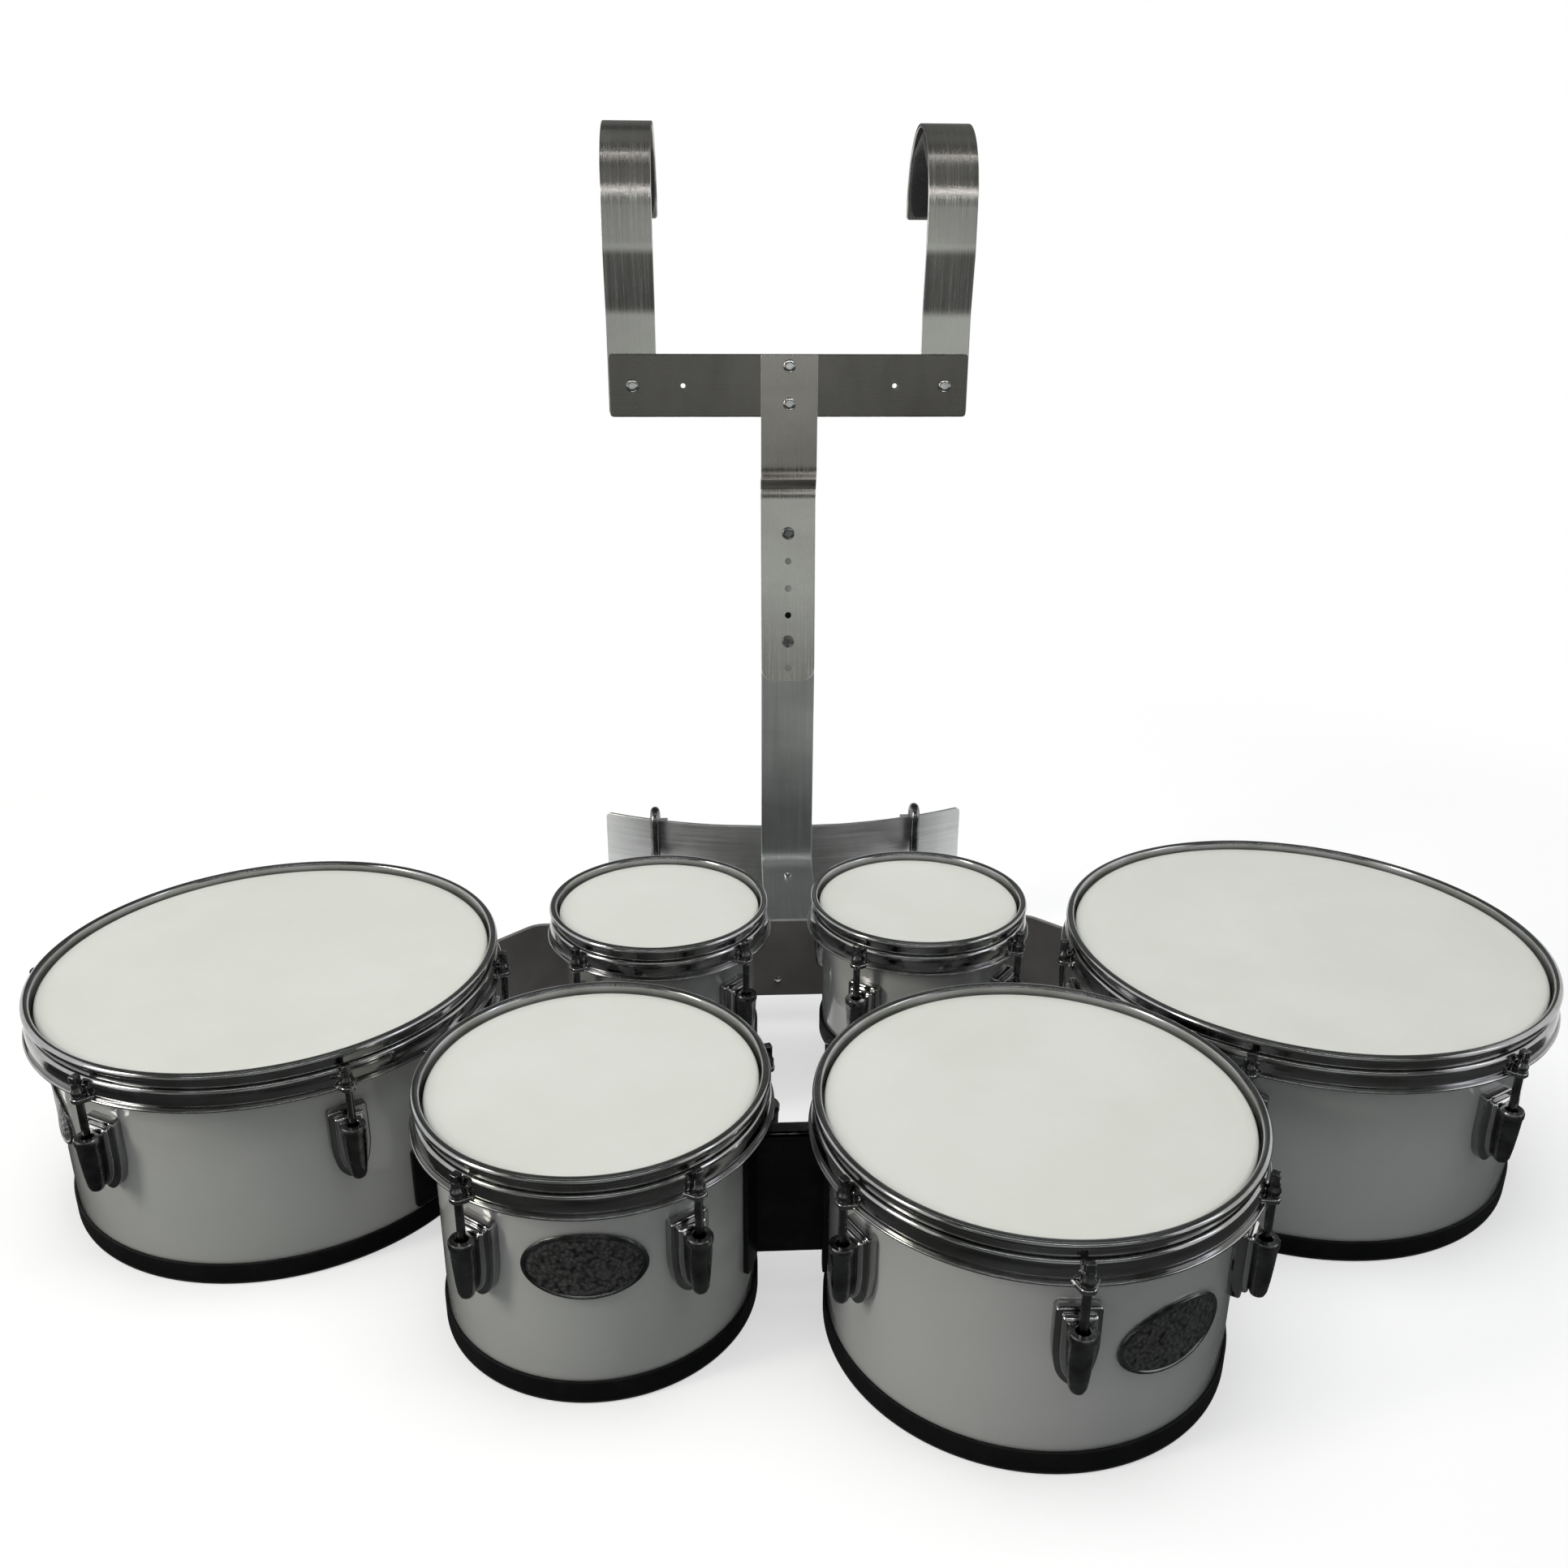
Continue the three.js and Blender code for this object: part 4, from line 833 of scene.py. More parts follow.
def tension_rods(drum):
    """Each rod has a washer on the ear, a collar, and a square head for the drum key."""
    shaft = lathe([
        (0, -72), (2.2, -72), (2.6, -71.4), (2.6, -22.5), (4.4, -22.5), (4.4, -21.2), (3.9, -20.9), (3.9, -19.4),
        (4.3, -19.1), (4.2, -17.8), (3.3, -16.6), (3.1, -12.4), (2.2, -12), (0, -12),
    ], 24)
    key = slab(rounded([(-2.7, -2.7), (2.7, -2.7), (2.7, 2.7), (-2.7, 2.7)], 0.8, 3), -14, -7.1, edge=0.6)
    shapes = [at_lug(drum, angle, shape, drum.radius + ROD_OFFSET, "upright")
              for angle in drum.angles for shape in (shaft, key)]
    piece(f"{drum.name}_tension_rods", f"{drum.name}_hoop", [STEEL_AND_PAINTED_SHADE], shapes)


def badge(drum, angle, drop):
    """An oval plate bent to the shell: its height over the shell depends on how far out a point lies, with a sunk
    field inside a raised rim. It is taller above its widest line. Distance across becomes an angle round the drum."""
    share = np.array([0, 0.3, 0.6, 0.85, 0.9, 0.92, 0.94, 0.965, 0.985, 1.0, 1.0, 0.0])
    height = np.array([1.5, 1.5, 1.5, 1.5, 1.5, 1.9, 2.15, 2.2, 2.0, 1.3, 0.0, 0.0])
    turn = np.linspace(0, 2 * np.pi, 96, endpoint=False)
    across = np.outer(share, 37.5 * np.cos(turn))
    up = np.outer(share, np.where(turn < np.pi, 25.2, 20.4) * np.sin(turn)) - drop
    reach = (drum.shell + GAP + height)[:, None]
    spin = math.radians(angle) + across / drum.shell
    grid = np.dstack([reach * np.cos(spin), reach * np.sin(spin), up])
    rim = np.repeat((share[1:] > 0.91).astype(int), len(turn))
    piece(f"{drum.name}_oval_badge", "drum_set", [FIELD, STEEL_AND_PAINTED_SHADE],
          [on_drum(drum, quads(grid, False, True))], [f"{drum.name}_badge"], [rim])


for drum in DRUMS:
    shell_wall(drum)
    lugs(drum)
    edge_trim(drum)
    head(drum)
    hoop(drum)
    tension_rods(drum)

BY_NAME = {drum.name: drum for drum in DRUMS}
badge(BY_NAME["left"], -149, 76.4)
badge(BY_NAME["front_left"], -90, 69.4)
badge(BY_NAME["front_right"], -63, 85.4)

# Frame
SHIFT_Y = middle("left_edge_trim")[1]
FRAME_Y = 168 + SHIFT_Y
FRAME_LOW, FRAME_HIGH = TOP - 141, TOP - 67
FRAME_SHEET, FRAME_REACH = 4, 168
WING = 45
SADDLE_HALF = 24
BRACKET_SHEET = 3
BRACKET_LOW, BRACKET_HIGH = TOP - 149, TOP - 102
BRIDGE_Y = -181 + SHIFT_Y
BRIDGE_LOW, BRIDGE_HIGH, BRIDGE_FLANGE = TOP - 130, TOP - 39, 11


def upright_plate(path, low, high, thick, corners=(1.0, 1.0)):
    """A plate that stands on edge along a path on the plan."""
    shape = bar(path, high - low, thick, corners)
    return placed(shape, (0, 0, (low + high) / 2))


def saddle(drum, facing, low, high, thick):
    """A flange curved to the shell, centred on a direction."""
    spread = SADDLE_HALF / drum.shell
    angle = math.radians(facing) + np.linspace(-spread, spread, 25)
    reach = drum.shell + GAP + thick / 2
    path = drum.centre + reach * np.stack([np.cos(angle), np.sin(angle)], -1)
    return upright_plate(path, low, high, thick, (3.0, 3.0))


def on_shell(drum, facing, out):
    """The point a distance out from the shell, in a direction from the drum's middle."""
    angle = math.radians(facing)
    return drum.centre + (drum.shell + out) * np.array([math.cos(angle), math.sin(angle)])


def heading(first, second):
    """The direction from one point to another on the plan, in degrees."""
    return math.degrees(math.atan2(*(second - first)[::-1]))


def rear_frame():
    """A strip on edge between the two large drums, bent at both wings, with a saddle on each drum and a rivet."""
    left, right = BY_NAME["left"], BY_NAME["right"]
    seat = GAP + FRAME_SHEET / 2
    path = bent([
        on_shell(left, WING, seat), (left.centre[0] + FRAME_REACH, FRAME_Y),
        (right.centre[0] - FRAME_REACH, FRAME_Y), on_shell(right, 180 - WING, seat),
    ], 20, 12)
    shapes = [
        upright_plate(path, FRAME_LOW, FRAME_HIGH, FRAME_SHEET),
        saddle(left, WING, FRAME_LOW, FRAME_HIGH, FRAME_SHEET),
        saddle(right, 180 - WING, FRAME_LOW, FRAME_HIGH, FRAME_SHEET),
    ]
    piece("rear_plate", "drum_set", [GREY_PAINT], shapes, ["rear_frame"])
    rivet = lathe([
        (0, -3.9), (1.4, -3.8), (2.7, -3.2), (3.4, -2.2), (1.6, -2.1), (1.6, 2.1), (3.4, 2.2), (2.7, 3.2),
        (1.4, 3.8), (0, 3.9),
    ], 24)
    spot = middle("frame_rivet")
    rivet = placed(rivet, (spot[0], FRAME_Y, spot[2]), *ALONG_Y)
    piece("plate_rivet", "drum_set", [CHROME], [rivet], ["frame_rivet"])


def side_bracket(name, first, second):
    """A plate on edge along the line between two drums' middles, with a saddle on each shell."""
    there, back = heading(first.centre, second.centre), heading(second.centre, first.centre)
    seat = GAP + BRACKET_SHEET / 2
    shapes = [
        saddle(first, there, BRACKET_LOW, BRACKET_HIGH, BRACKET_SHEET),
        saddle(second, back, BRACKET_LOW, BRACKET_HIGH, BRACKET_SHEET),
        upright_plate([on_shell(first, there, seat), on_shell(second, back, seat)], BRACKET_LOW, BRACKET_HIGH,
                      BRACKET_SHEET),
    ]
    # Painted shade: the joint plate takes the near-black copy of the frame paint
    piece(f"{name}_joint_plate", "drum_set", [PAINTED_SHADE_FRAME_PAINT], shapes, [name])


def front_bridge():
    """A channel between the front drums: an upright web, saddles at its ends, and a flange with ends cut to the
    shells. Where it meets a shell, x is off the drum's middle by the root of the radius squared less y squared."""
    left, right = BY_NAME["front_left"], BY_NAME["front_right"]
    half = BRACKET_SHEET / 2

    def meets(drum, side, y, out):
        """Where x lies at a place y, a distance out from the shell."""
        return drum.centre[0] + side * np.sqrt((drum.shell + out) ** 2 - (y - drum.centre[1]) ** 2)

    start = np.array([meets(left, 1, BRIDGE_Y, GAP + half), BRIDGE_Y])
    end = np.array([meets(right, -1, BRIDGE_Y, GAP + half), BRIDGE_Y])
    depth = np.linspace(BRIDGE_Y - half, BRIDGE_Y + BRIDGE_FLANGE, 14)
    near = np.stack([meets(left, 1, depth, GAP), depth], -1)
    far = np.stack([meets(right, -1, depth, GAP), depth], -1)
    shapes = [
        saddle(left, heading(left.centre, start), BRIDGE_LOW, BRIDGE_HIGH, BRACKET_SHEET),
        saddle(right, heading(right.centre, end), BRIDGE_LOW, BRIDGE_HIGH, BRACKET_SHEET),
        upright_plate([start, end], BRIDGE_LOW, BRIDGE_HIGH, BRACKET_SHEET),
        slab(np.vstack([far, near[::-1]]), BRIDGE_HIGH - BRACKET_SHEET, BRIDGE_HIGH, edge=0.5),
    ]
    # Painted shade: the channel takes the near-black copy of the frame paint
    piece("front_channel", "drum_set", [PAINTED_SHADE_FRAME_PAINT], shapes, ["front_bridge"])


def small_mount(drum):
    """A spacer block whose front is hollowed to the small shell."""
    back = FRAME_Y - FRAME_SHEET / 2 - GAP
    across = np.linspace(-15, 15, 13)
    front = drum.centre[1] + np.sqrt((drum.shell + GAP) ** 2 - across ** 2)
    outline = np.vstack([np.stack([across, front], -1), [(15, back), (-15, back)]]) + (drum.centre[0], 0)
    shape = slab(outline, TOP - 104, TOP - 79, edge=0.8)
    piece(f"{drum.name}_spacer", "drum_set", [GREY_PAINT], [shape], [f"{drum.name}_mount"])


rear_frame()
side_bracket("left_bracket", BY_NAME["left"], BY_NAME["front_left"])
side_bracket("right_bracket", BY_NAME["front_right"], BY_NAME["right"])
front_bridge()
small_mount(BY_NAME["small_left"])
small_mount(BY_NAME["small_right"])

# Carrier
CARRIER_X = middle("lower_post")[0]

# The lower post: its tongue, the bend up behind the belly plate, and the joint from which it leans with the line of
# adjusting holes. Heights on the carrier are measured from the hoops' tops
TONGUE_FRONT, TONGUE_END = 171 + SHIFT_Y, -76
BEND_Y, BEND_UP = 268 + SHIFT_Y, -57
POST_Y, POST_JOINT, POST_TOP = 262.5 + SHIFT_Y, 120, 299
POST_WIDTH = 47
LEAN = math.radians(5)
HOLES = [252 - 23.4 * k for k in range(6)]
BOLTED = (0, 4)
BOLT_HOLE = 2.8

# The chest: upper post, cross plate and shoulder hooks, one behind the other
CHEST_Y, CHEST_TOP = 264 + SHIFT_Y, 400
JOGGLE_LOW, JOGGLE_HIGH = 288, 303
CROSS_Y = CHEST_Y + SHEET + GAP
CROSS_HALF, CROSS_HEIGHT = 148, 50
CROSS_LEVEL = CHEST_TOP - CROSS_HEIGHT / 2
CROSS_SCREWS = [391, 361]
HOOK_Y = CROSS_Y + SHEET + GAP
SHOULDER_X, SPARE_X = 129, 87.5
ARCH = 63.0
ARCH_FRONT = HOOK_Y - 8
ARCH_Y, ARCH_Z = ARCH_FRONT + ARCH, 575 - ARCH

# The belly plate, its screw in the post, and the screw in the tongue
BELLY_RADIUS, BELLY_HALF, BELLY_HEIGHT = 368.0, 170.0, 93
BELLY_FRONT = BEND_Y + SHEET / 2 + 3 * GAP
BELLY_LEAN = (POST_Y - BEND_Y) / (POST_JOINT - BEND_UP)
SCREW_LEVEL = -32
SCREW_TIP = BEND_Y + (SCREW_LEVEL - BEND_UP) * BELLY_LEAN - GAP
TONGUE_TILT = math.atan((BEND_UP - TONGUE_END) / (BEND_Y - TONGUE_FRONT))
TONGUE_SCREW = (BEND_Y - 24, BEND_UP - 24 * math.tan(TONGUE_TILT))


def slope_y(height, out=0.0):
    """Where the line of adjusting holes stands at a height: POST_Y plus the height over the joint times the lean's
    tangent, moved square to itself by a distance."""
    return POST_Y + (height - POST_JOINT) * math.tan(LEAN) + out / math.cos(LEAN)


def standing(shape, x=CARRIER_X):
    """A bar bent in the Y-Z plane, its heights measured from the hoop tops."""
    points = shape[0]
    return (np.stack([x + points[:, 2], points[:, 0], TOP + points[:, 1]], -1), *shape[1:])


def face_heights(shape):
    """How high the middle of each four-cornered face lies over the hoops' tops."""
    return shape[0][shape[1]][:, :, 2].mean(1) - TOP


def pin(radius, x, y, height, reach, lean=0.0):
    """A cutter or peg along Y at a height above the hoop tops, tipped by an angle."""
    shape = lathe([(0, -reach), (radius, -reach), (radius, reach), (0, reach)], 24)
    upright, along = (0, math.sin(lean), math.cos(lean)), (0, math.cos(lean), -math.sin(lean))
    return placed(shape, (x, y, TOP + height), (1, 0, 0), upright, along)


def slot_cutter(height):
    """A long round-ended cutter square to the line of adjusting holes."""
    half, below, above = BOLT_HOLE, 14.5, 37.9
    outline = rounded([(-half, -below), (half, -below), (half, above), (-half, above)], 2.7, 5)
    shape = slab(outline, -6, 6, edge=0.01, steps=1)
    upright, ahead = (0, math.sin(LEAN), math.cos(LEAN)), (0, -math.cos(LEAN), math.sin(LEAN))
    return placed(shape, (CARRIER_X, slope_y(height), TOP + height), (1, 0, 0), upright, ahead)


def lower_post():
    """The rear strip: a tongue, a bend up, and the lean, with its two slots and the holes of its two screws."""
    path = bent([
        (TONGUE_FRONT, TONGUE_END), (BEND_Y, BEND_UP), (POST_Y, POST_JOINT), (slope_y(POST_TOP), POST_TOP),
    ], 22, 12)
    made = piece("rear_strip", "carrier", [UPRIGHT_BAR],
                 [standing(bar(path, POST_WIDTH, SHEET, (2.0, 2.0)))], ["lower_post"])
    tapped = (SCREW_TIP - GAP + BELLY_FRONT + 1) / 2
    drilled(made, [
        *(slot_cutter(HOLES[k]) for k in BOLTED),
        pin(BOLT_HOLE, CARRIER_X, tapped, SCREW_LEVEL, BELLY_FRONT + 1 - tapped),
        pin(BOLT_HOLE, CARRIER_X, *TONGUE_SCREW, 4, math.pi / 2 - TONGUE_TILT),
    ])


def upper_post():
    """The strip in front of the rear one, set back by a joggle under the cross plate. Over the joggle its colour is a
    darker copy of the brushed metal that paints shade, and along its crease a still darker copy paints the shade in
    the crease: each face's colour follows the height of its middle."""
    out = -(SHEET + GAP)
    path = bent([
        (slope_y(123, out), 123), (slope_y(JOGGLE_LOW, out), JOGGLE_LOW), (CHEST_Y, JOGGLE_HIGH), (CHEST_Y, CHEST_TOP),
    ], 22, 12)
    shape = standing(bar(path, POST_WIDTH, SHEET, (12.0, 1.5)))
    level = face_heights(shape)
    # Painted shade: faces over the joggle take a darker copy of the metal, faces in the crease a still darker one
    tone = [*np.where(level > 299, 1, np.where(level > 290, 2, 0)), 0, 1]
    made = piece("front_strip", "chest_frame", [PALE_BAR, JOGGLE_TOP_PAINTED_SHADE_BAR, CREASE_PAINTED_SHADE_BAR], [shape],
                 ["upper_post"], [tone])
    cutters = [pin(BOLT_HOLE, CARRIER_X, slope_y(height, out), height, 4, LEAN) for height in HOLES]
    cutters += [pin(BOLT_HOLE, CARRIER_X, CHEST_Y, height, 4) for height in CROSS_SCREWS]
    drilled(made, cutters)


def cross_plate():
    """A level bar with a hole and a spare one for each shoulder hook, and two for the upper post."""
    path = [(CARRIER_X + x, CROSS_Y) for x in (-CROSS_HALF, 0, CROSS_HALF)]
    shape = placed(bar(path, CROSS_HEIGHT, SHEET, (3.0, 3.0)), (0, 0, TOP + CROSS_LEVEL))
    # Painted shade: the plate takes a much darker copy of the brushed metal
    made = piece("chest_plate", "chest_frame", [LEVEL_PAINTED_SHADE_BAR], [shape], ["cross_plate"])
    places = [(side * x, CROSS_LEVEL, radius) for _, side in SIDES
              for x, radius in ((SHOULDER_X, BOLT_HOLE), (SPARE_X, 2.0))]
    places += [(0, height, BOLT_HOLE) for height in CROSS_SCREWS]
    drilled(made, [pin(radius, CARRIER_X + x, CROSS_Y, height, 4) for x, height, radius in places])


def clamp_plate():
    """A plate behind the slots, which the nuts of the adjusting bolts pull against."""
    out = SHEET / 2 + GAP + 1
    reach = 12 * math.cos(LEAN)
    path = [(slope_y(height, out), height) for height in (HOLES[BOLTED[1]] - reach, HOLES[BOLTED[0]] + reach)]
    # Painted shade: the slot plate takes the near-black copy of the frame paint
    made = piece("slot_plate", "chest_frame", [PAINTED_SHADE_FRAME_PAINT],
                 [standing(bar(path, 24, 2, (6.0, 6.0)))], ["clamp_plate"])
    drilled(made, [pin(BOLT_HOLE, CARRIER_X, slope_y(HOLES[k], out), HOLES[k], 4, LEAN) for k in BOLTED])


def arch_path(radius, start, end):
    """Up to the arch, over it on half a circle, and down to its end."""
    angle = np.pi * (1 - np.linspace(0, 1, 41))
    over = np.stack([ARCH_Y + radius * np.cos(angle), ARCH_Z + radius * np.sin(angle)], -1)
    return np.vstack([start, over, [(ARCH_Y + radius, end)]])


def shoulder_hook(word, side):
    """A strip that rises, steps forward and goes over the arch. On the arch its colour is a darker copy of the brushed
    metal than below it, which paints shade.
    """
    rise = bent([(HOOK_Y, 352), (HOOK_Y, 432), (ARCH_FRONT, 480), (ARCH_FRONT, ARCH_Z - 1)], 60, 16)
    path = arch_path(ARCH, rise, 505)
    x = CARRIER_X + side * SHOULDER_X
    shape = standing(bar(path, 40, SHEET, (3.0, 3.0)), x)
    # Painted shade: faces on the arch take the darker copy of the metal
    arch = [*(face_heights(shape) > 520).astype(int), 0, 0]
    made = piece(f"{word}_shoulder_strip", f"{word}_shoulder", [PALE_BAR, ARCH_PAINTED_SHADE_BAR],
                 [shape], [f"{word}_shoulder_hook"], [arch])
    drilled(made, [pin(BOLT_HOLE, x, HOOK_Y, CROSS_LEVEL, 4)])


def carried(shape, path, across_x):
    """A pillow bent along a path in the Y-Z plane: its length runs along the path, its thickness square to it."""
    points, faces = shape
    run = run_along(path)
    s = points[:, 0] + run[-1] / 2
    side = quarter_turn(unit(at_run(np.gradient(path, run, axis=0), run, s)))
    y, z = (at_run(path, run, s) + points[:, 2:3] * side).T
    return np.column_stack([across_x + points[:, 1], y, z + TOP]), faces


def shoulder_lining(word, side):
    """Foam glued inside the hook: a long pillow that follows the arch, its cut edges soft."""
    inner = ARCH - SHEET / 2 - GAP - 5.5
    path = arch_path(inner, [(ARCH_Y - inner, 488)], 507)
    soft = pillow(run_along(path)[-1], 38, 11, corner=0.22, edge=0.42, steps=(200, 30), crown=0.1)
    made = piece(f"{word}_shoulder_foam", f"{word}_shoulder", [FOAM],
                 [carried(soft, path, CARRIER_X + side * SHOULDER_X)], [f"{word}_shoulder_lining"], smooth=180)


BELLY_AXIS = BELLY_FRONT + BELLY_RADIUS


def belly_y(x):
    """Where the belly plate's front stands at a place across: a circle about an upright axis behind it."""
    return BELLY_AXIS - math.sqrt(BELLY_RADIUS ** 2 - x ** 2)


def belly_plate():
    """A plate curved about an upright axis on the player's side."""
    middle_radius = BELLY_RADIUS - SHEET / 2
    spread = math.asin(BELLY_HALF / middle_radius)
    angle = np.linspace(-spread, spread, 61)
    path = np.stack([CARRIER_X + middle_radius * np.sin(angle), BELLY_AXIS - middle_radius * np.cos(angle)], -1)
    shape = placed(bar(path, BELLY_HEIGHT, SHEET, (5.0, 5.0)), (0, 0, TOP - 68.5))
    made = piece("belly_shield", "carrier", [SHIELD_BAR], [shape], ["belly_plate"])
    drilled(made, [pin(BOLT_HOLE, CARRIER_X, BELLY_FRONT + SHEET / 2, SCREW_LEVEL, 6)])


def belly_pad():
    """A foam pad wrapped on the plate's hollow side: a pillow whose length becomes an angle about the plate's axis.
    Its face is lightly rippled by a sine times a cosine."""
    points, faces = pillow(192, 87, 14, corner=0.18, edge=0.5, steps=(160, 36), crown=0.12)
    reach = BELLY_RADIUS - SHEET - GAP - 7 - points[:, 2]
    angle = points[:, 0] / (BELLY_RADIUS - 10)
    ripple = 0.35 * np.sin(points[:, 0] / 11) * np.cos(points[:, 1] / 13)
    reach = reach + np.where(points[:, 2] > 2, ripple, 0)
    place = np.column_stack([
        CARRIER_X + reach * np.sin(angle), BELLY_AXIS - reach * np.cos(angle), TOP - 69.5 + points[:, 1],
    ])
    made = piece("belly_cushion", "carrier", [FOAM], [(place, faces)], ["belly_pad"], smooth=180)


# The hook rods: where they stand in front of and behind the belly plate, and in their clamps on the frame
ROD_X, ROD_RADIUS, ROD_BORE = 123, 4.5, 5.0
ROD_FRONT = belly_y(ROD_X) - ROD_RADIUS - 2.4
ROD_BACK = 2 * belly_y(ROD_X) + SHEET - ROD_FRONT
CLAMP_HALF = 11
ROD_Y = FRAME_Y + FRAME_SHEET / 2 + GAP + CLAMP_HALF
CLAMP_SCREW = TOP - 113


def hook_rods():
    """Round bars that rise from their clamps, run back, rise again and hook over the belly plate."""
    over = (ROD_BACK - ROD_FRONT) / 2
    crest = -22.6
    lower = bent([(ROD_Y, -146), (ROD_Y, -62), (ROD_FRONT, -62), (ROD_FRONT, crest)], 15, 12)[:-1]
    angle = np.linspace(0, np.pi, 25)
    bow = np.stack([ROD_FRONT + over * (1 - np.cos(angle)), crest + over * np.sin(angle)], -1)
    path = np.vstack([lower, bow, [(ROD_BACK, -50)]])
    run = run_along(path)
    path = at_run(path, run, np.linspace(0, run[-1], 150))
    for word, side in SIDES:
        line = np.column_stack([np.full(len(path), CARRIER_X + side * ROD_X), path[:, 0], TOP + path[:, 1]])
        piece(f"{word}_hook_bar", "hook_rods", [STEEL_AND_PAINTED_SHADE], [tube(line, ROD_RADIUS)], [f"{word}_hook_rod"])


def rod_bore(x, y, low, high):
    """An upright cutter between two heights."""
    return placed(lathe([(0, low), (ROD_BORE, low), (ROD_BORE, high), (0, high)], 32), (x, y, TOP))


def receivers():
    """Blocks behind the belly plate, fronts curved to it, bored for the rods' tails."""
    across = np.linspace(-11, 11, 9)
    for word, side in SIDES:
        x = side * ROD_X + across
        inner = BELLY_RADIUS - SHEET - GAP
        front = BELLY_AXIS - np.sqrt(inner ** 2 - x ** 2)
        back = ROD_BACK + 10
        outline = np.vstack([np.stack([x, front], -1), [(x[-1], back), (x[0], back)]]) + (CARRIER_X, 0)
        shape = placed(slab(outline, -54, -28, edge=0.4), (0, 0, TOP))
        made = piece(f"{word}_rod_socket", "carrier", [GREY_PAINT], [shape], [f"{word}_rod_receiver"])
        drilled(made, [rod_bore(CARRIER_X + side * ROD_X, ROD_BACK, -60, -20)])


def clamps():
    """Blocks on the back of the rear plate, bored for the rods and tapped for their screws."""
    for word, side in SIDES:
        x = CARRIER_X + side * ROD_X
        corners = [(-13, -CLAMP_HALF), (13, -CLAMP_HALF), (13, CLAMP_HALF), (-13, CLAMP_HALF)]
        outline = rounded(corners, 4, 6) + (x, ROD_Y)
        shape = placed(slab(outline, -133, -93, edge=0.8), (0, 0, TOP))
        made = piece(f"{word}_clamp_block", "drum_set", [GREY_PAINT], [shape], [f"{word}_rod_clamp"])
        tapped = lathe([(0, 0), (3.3, 0), (3.3, 14), (0, 14)], 24)
        drilled(made, [rod_bore(x, ROD_Y, -140, -86)])
        drilled(made, [placed(tapped, (x, ROD_Y, CLAMP_SCREW), *ALONG_Y)])


def wing_screws():
    """A turned shaft and hub along Y with two rounded wings."""
    wing = rounded([
        (-5.5, 13.3), (5.5, 13.3), (13.5, 15.3), (15, 26.3), (9.5, 27.4), (5, 18), (-5, 18), (-9.5, 27.4),
        (-15, 26.3), (-13.5, 15.3),
    ], np.array([1, 1, 4, 4, 3, 2.5, 2.5, 3, 4, 4]), 5)
    core = lathe([
        (0, 4.8), (2.4, 4.8), (3, 5.6), (3, 11.3), (4.6, 11.4), (5.5, 12.4), (5.2, 17.6), (4.2, 18.6), (0, 18.8),
    ], 28)
    for word, side in SIDES:
        origin = (CARRIER_X + side * ROD_X, ROD_Y, CLAMP_SCREW)
        shapes = [placed(core, origin, *ALONG_Y), placed(slab(wing, -1.5, 1.5, edge=1.0), origin)]
        piece(f"{word}_wing_bolt", f"{word}_wing_screw", [CHROME], shapes, [f"{word}_wing_screw"])


def screw_shapes(grip, width=5.4):
    """A pan head with a socket, a shaft, and a six-sided nut behind what it holds, all turned about one axis. Lengths
    run from the seat of the head."""
    far = grip + GAP
    head = lathe([
        (0, -2.0), (0.3 * width, -2.0), (0.32 * width, -3.2), (0.6 * width, -3.3), (0.86 * width, -2.8),
        (0.98 * width, -1.6), (width, -GAP), (2.4, -GAP), (2.4, far + 4.6), (0, far + 4.6),
    ], 24)
    nut = lathe([
        (2.3, far), (width - 0.4, far), (width, far + 0.5), (width, far + 3.6), (width - 0.7, far + 4.4),
        (2.3, far + 4.4),
    ], 6)
    return head, nut


# By default a screw takes the lighter copy of the chrome, which paints its highlight
def fasten(name, body, shapes, origin, stands_for, lean=0.0, finish=CHROME_PAINTED_LIGHT):
    """A screw's shapes set with their axis along +Y, tipped by an angle about X."""
    axes = ((1, 0, 0), (0, -math.sin(lean), -math.cos(lean)), (0, math.cos(lean), -math.sin(lean)))
    piece(name, body, [finish], [placed(shape, origin, *axes) for shape in shapes], [stands_for])


def bolts():
    """The two adjusting bolts on the leaning posts, the two on the cross plate and one through each shoulder hook."""
    two_sheets = 2 * SHEET + GAP
    for k, index in enumerate(BOLTED):
        height = HOLES[index]
        out = -(SHEET + GAP) - SHEET / 2
        origin = (CARRIER_X, slope_y(height) + out * math.cos(LEAN), TOP + height - out * math.sin(LEAN))
        fasten(f"adjusting_bolt_{k + 1}", "chest_frame", screw_shapes(two_sheets + GAP + 2), origin,
               f"post_bolt_{k + 1}", LEAN, STEEL_AND_PAINTED_SHADE)
    for k, height in enumerate(CROSS_SCREWS):
        fasten(f"chest_bolt_{k + 1}", "chest_frame", screw_shapes(two_sheets),
               (CARRIER_X, CHEST_Y - SHEET / 2, TOP + height), f"cross_screw_{k + 1}")
    for word, side in SIDES:
        fasten(f"{word}_hook_bolt", "chest_frame", screw_shapes(two_sheets),
               (CARRIER_X + side * SHOULDER_X, CROSS_Y - SHEET / 2, TOP + CROSS_LEVEL), f"{word}_shoulder_bolt")


def tongue_screw():
    """A small screw in the tongue, its head up."""
    y, height = TONGUE_SCREW
    half = SHEET / 2
    origin = (CARRIER_X, y - half * math.sin(TONGUE_TILT), TOP + height + half * math.cos(TONGUE_TILT))
    fasten("tongue_bolt", "carrier", screw_shapes(SHEET, 3.7), origin, "tongue_screw", math.pi / 2 - TONGUE_TILT)


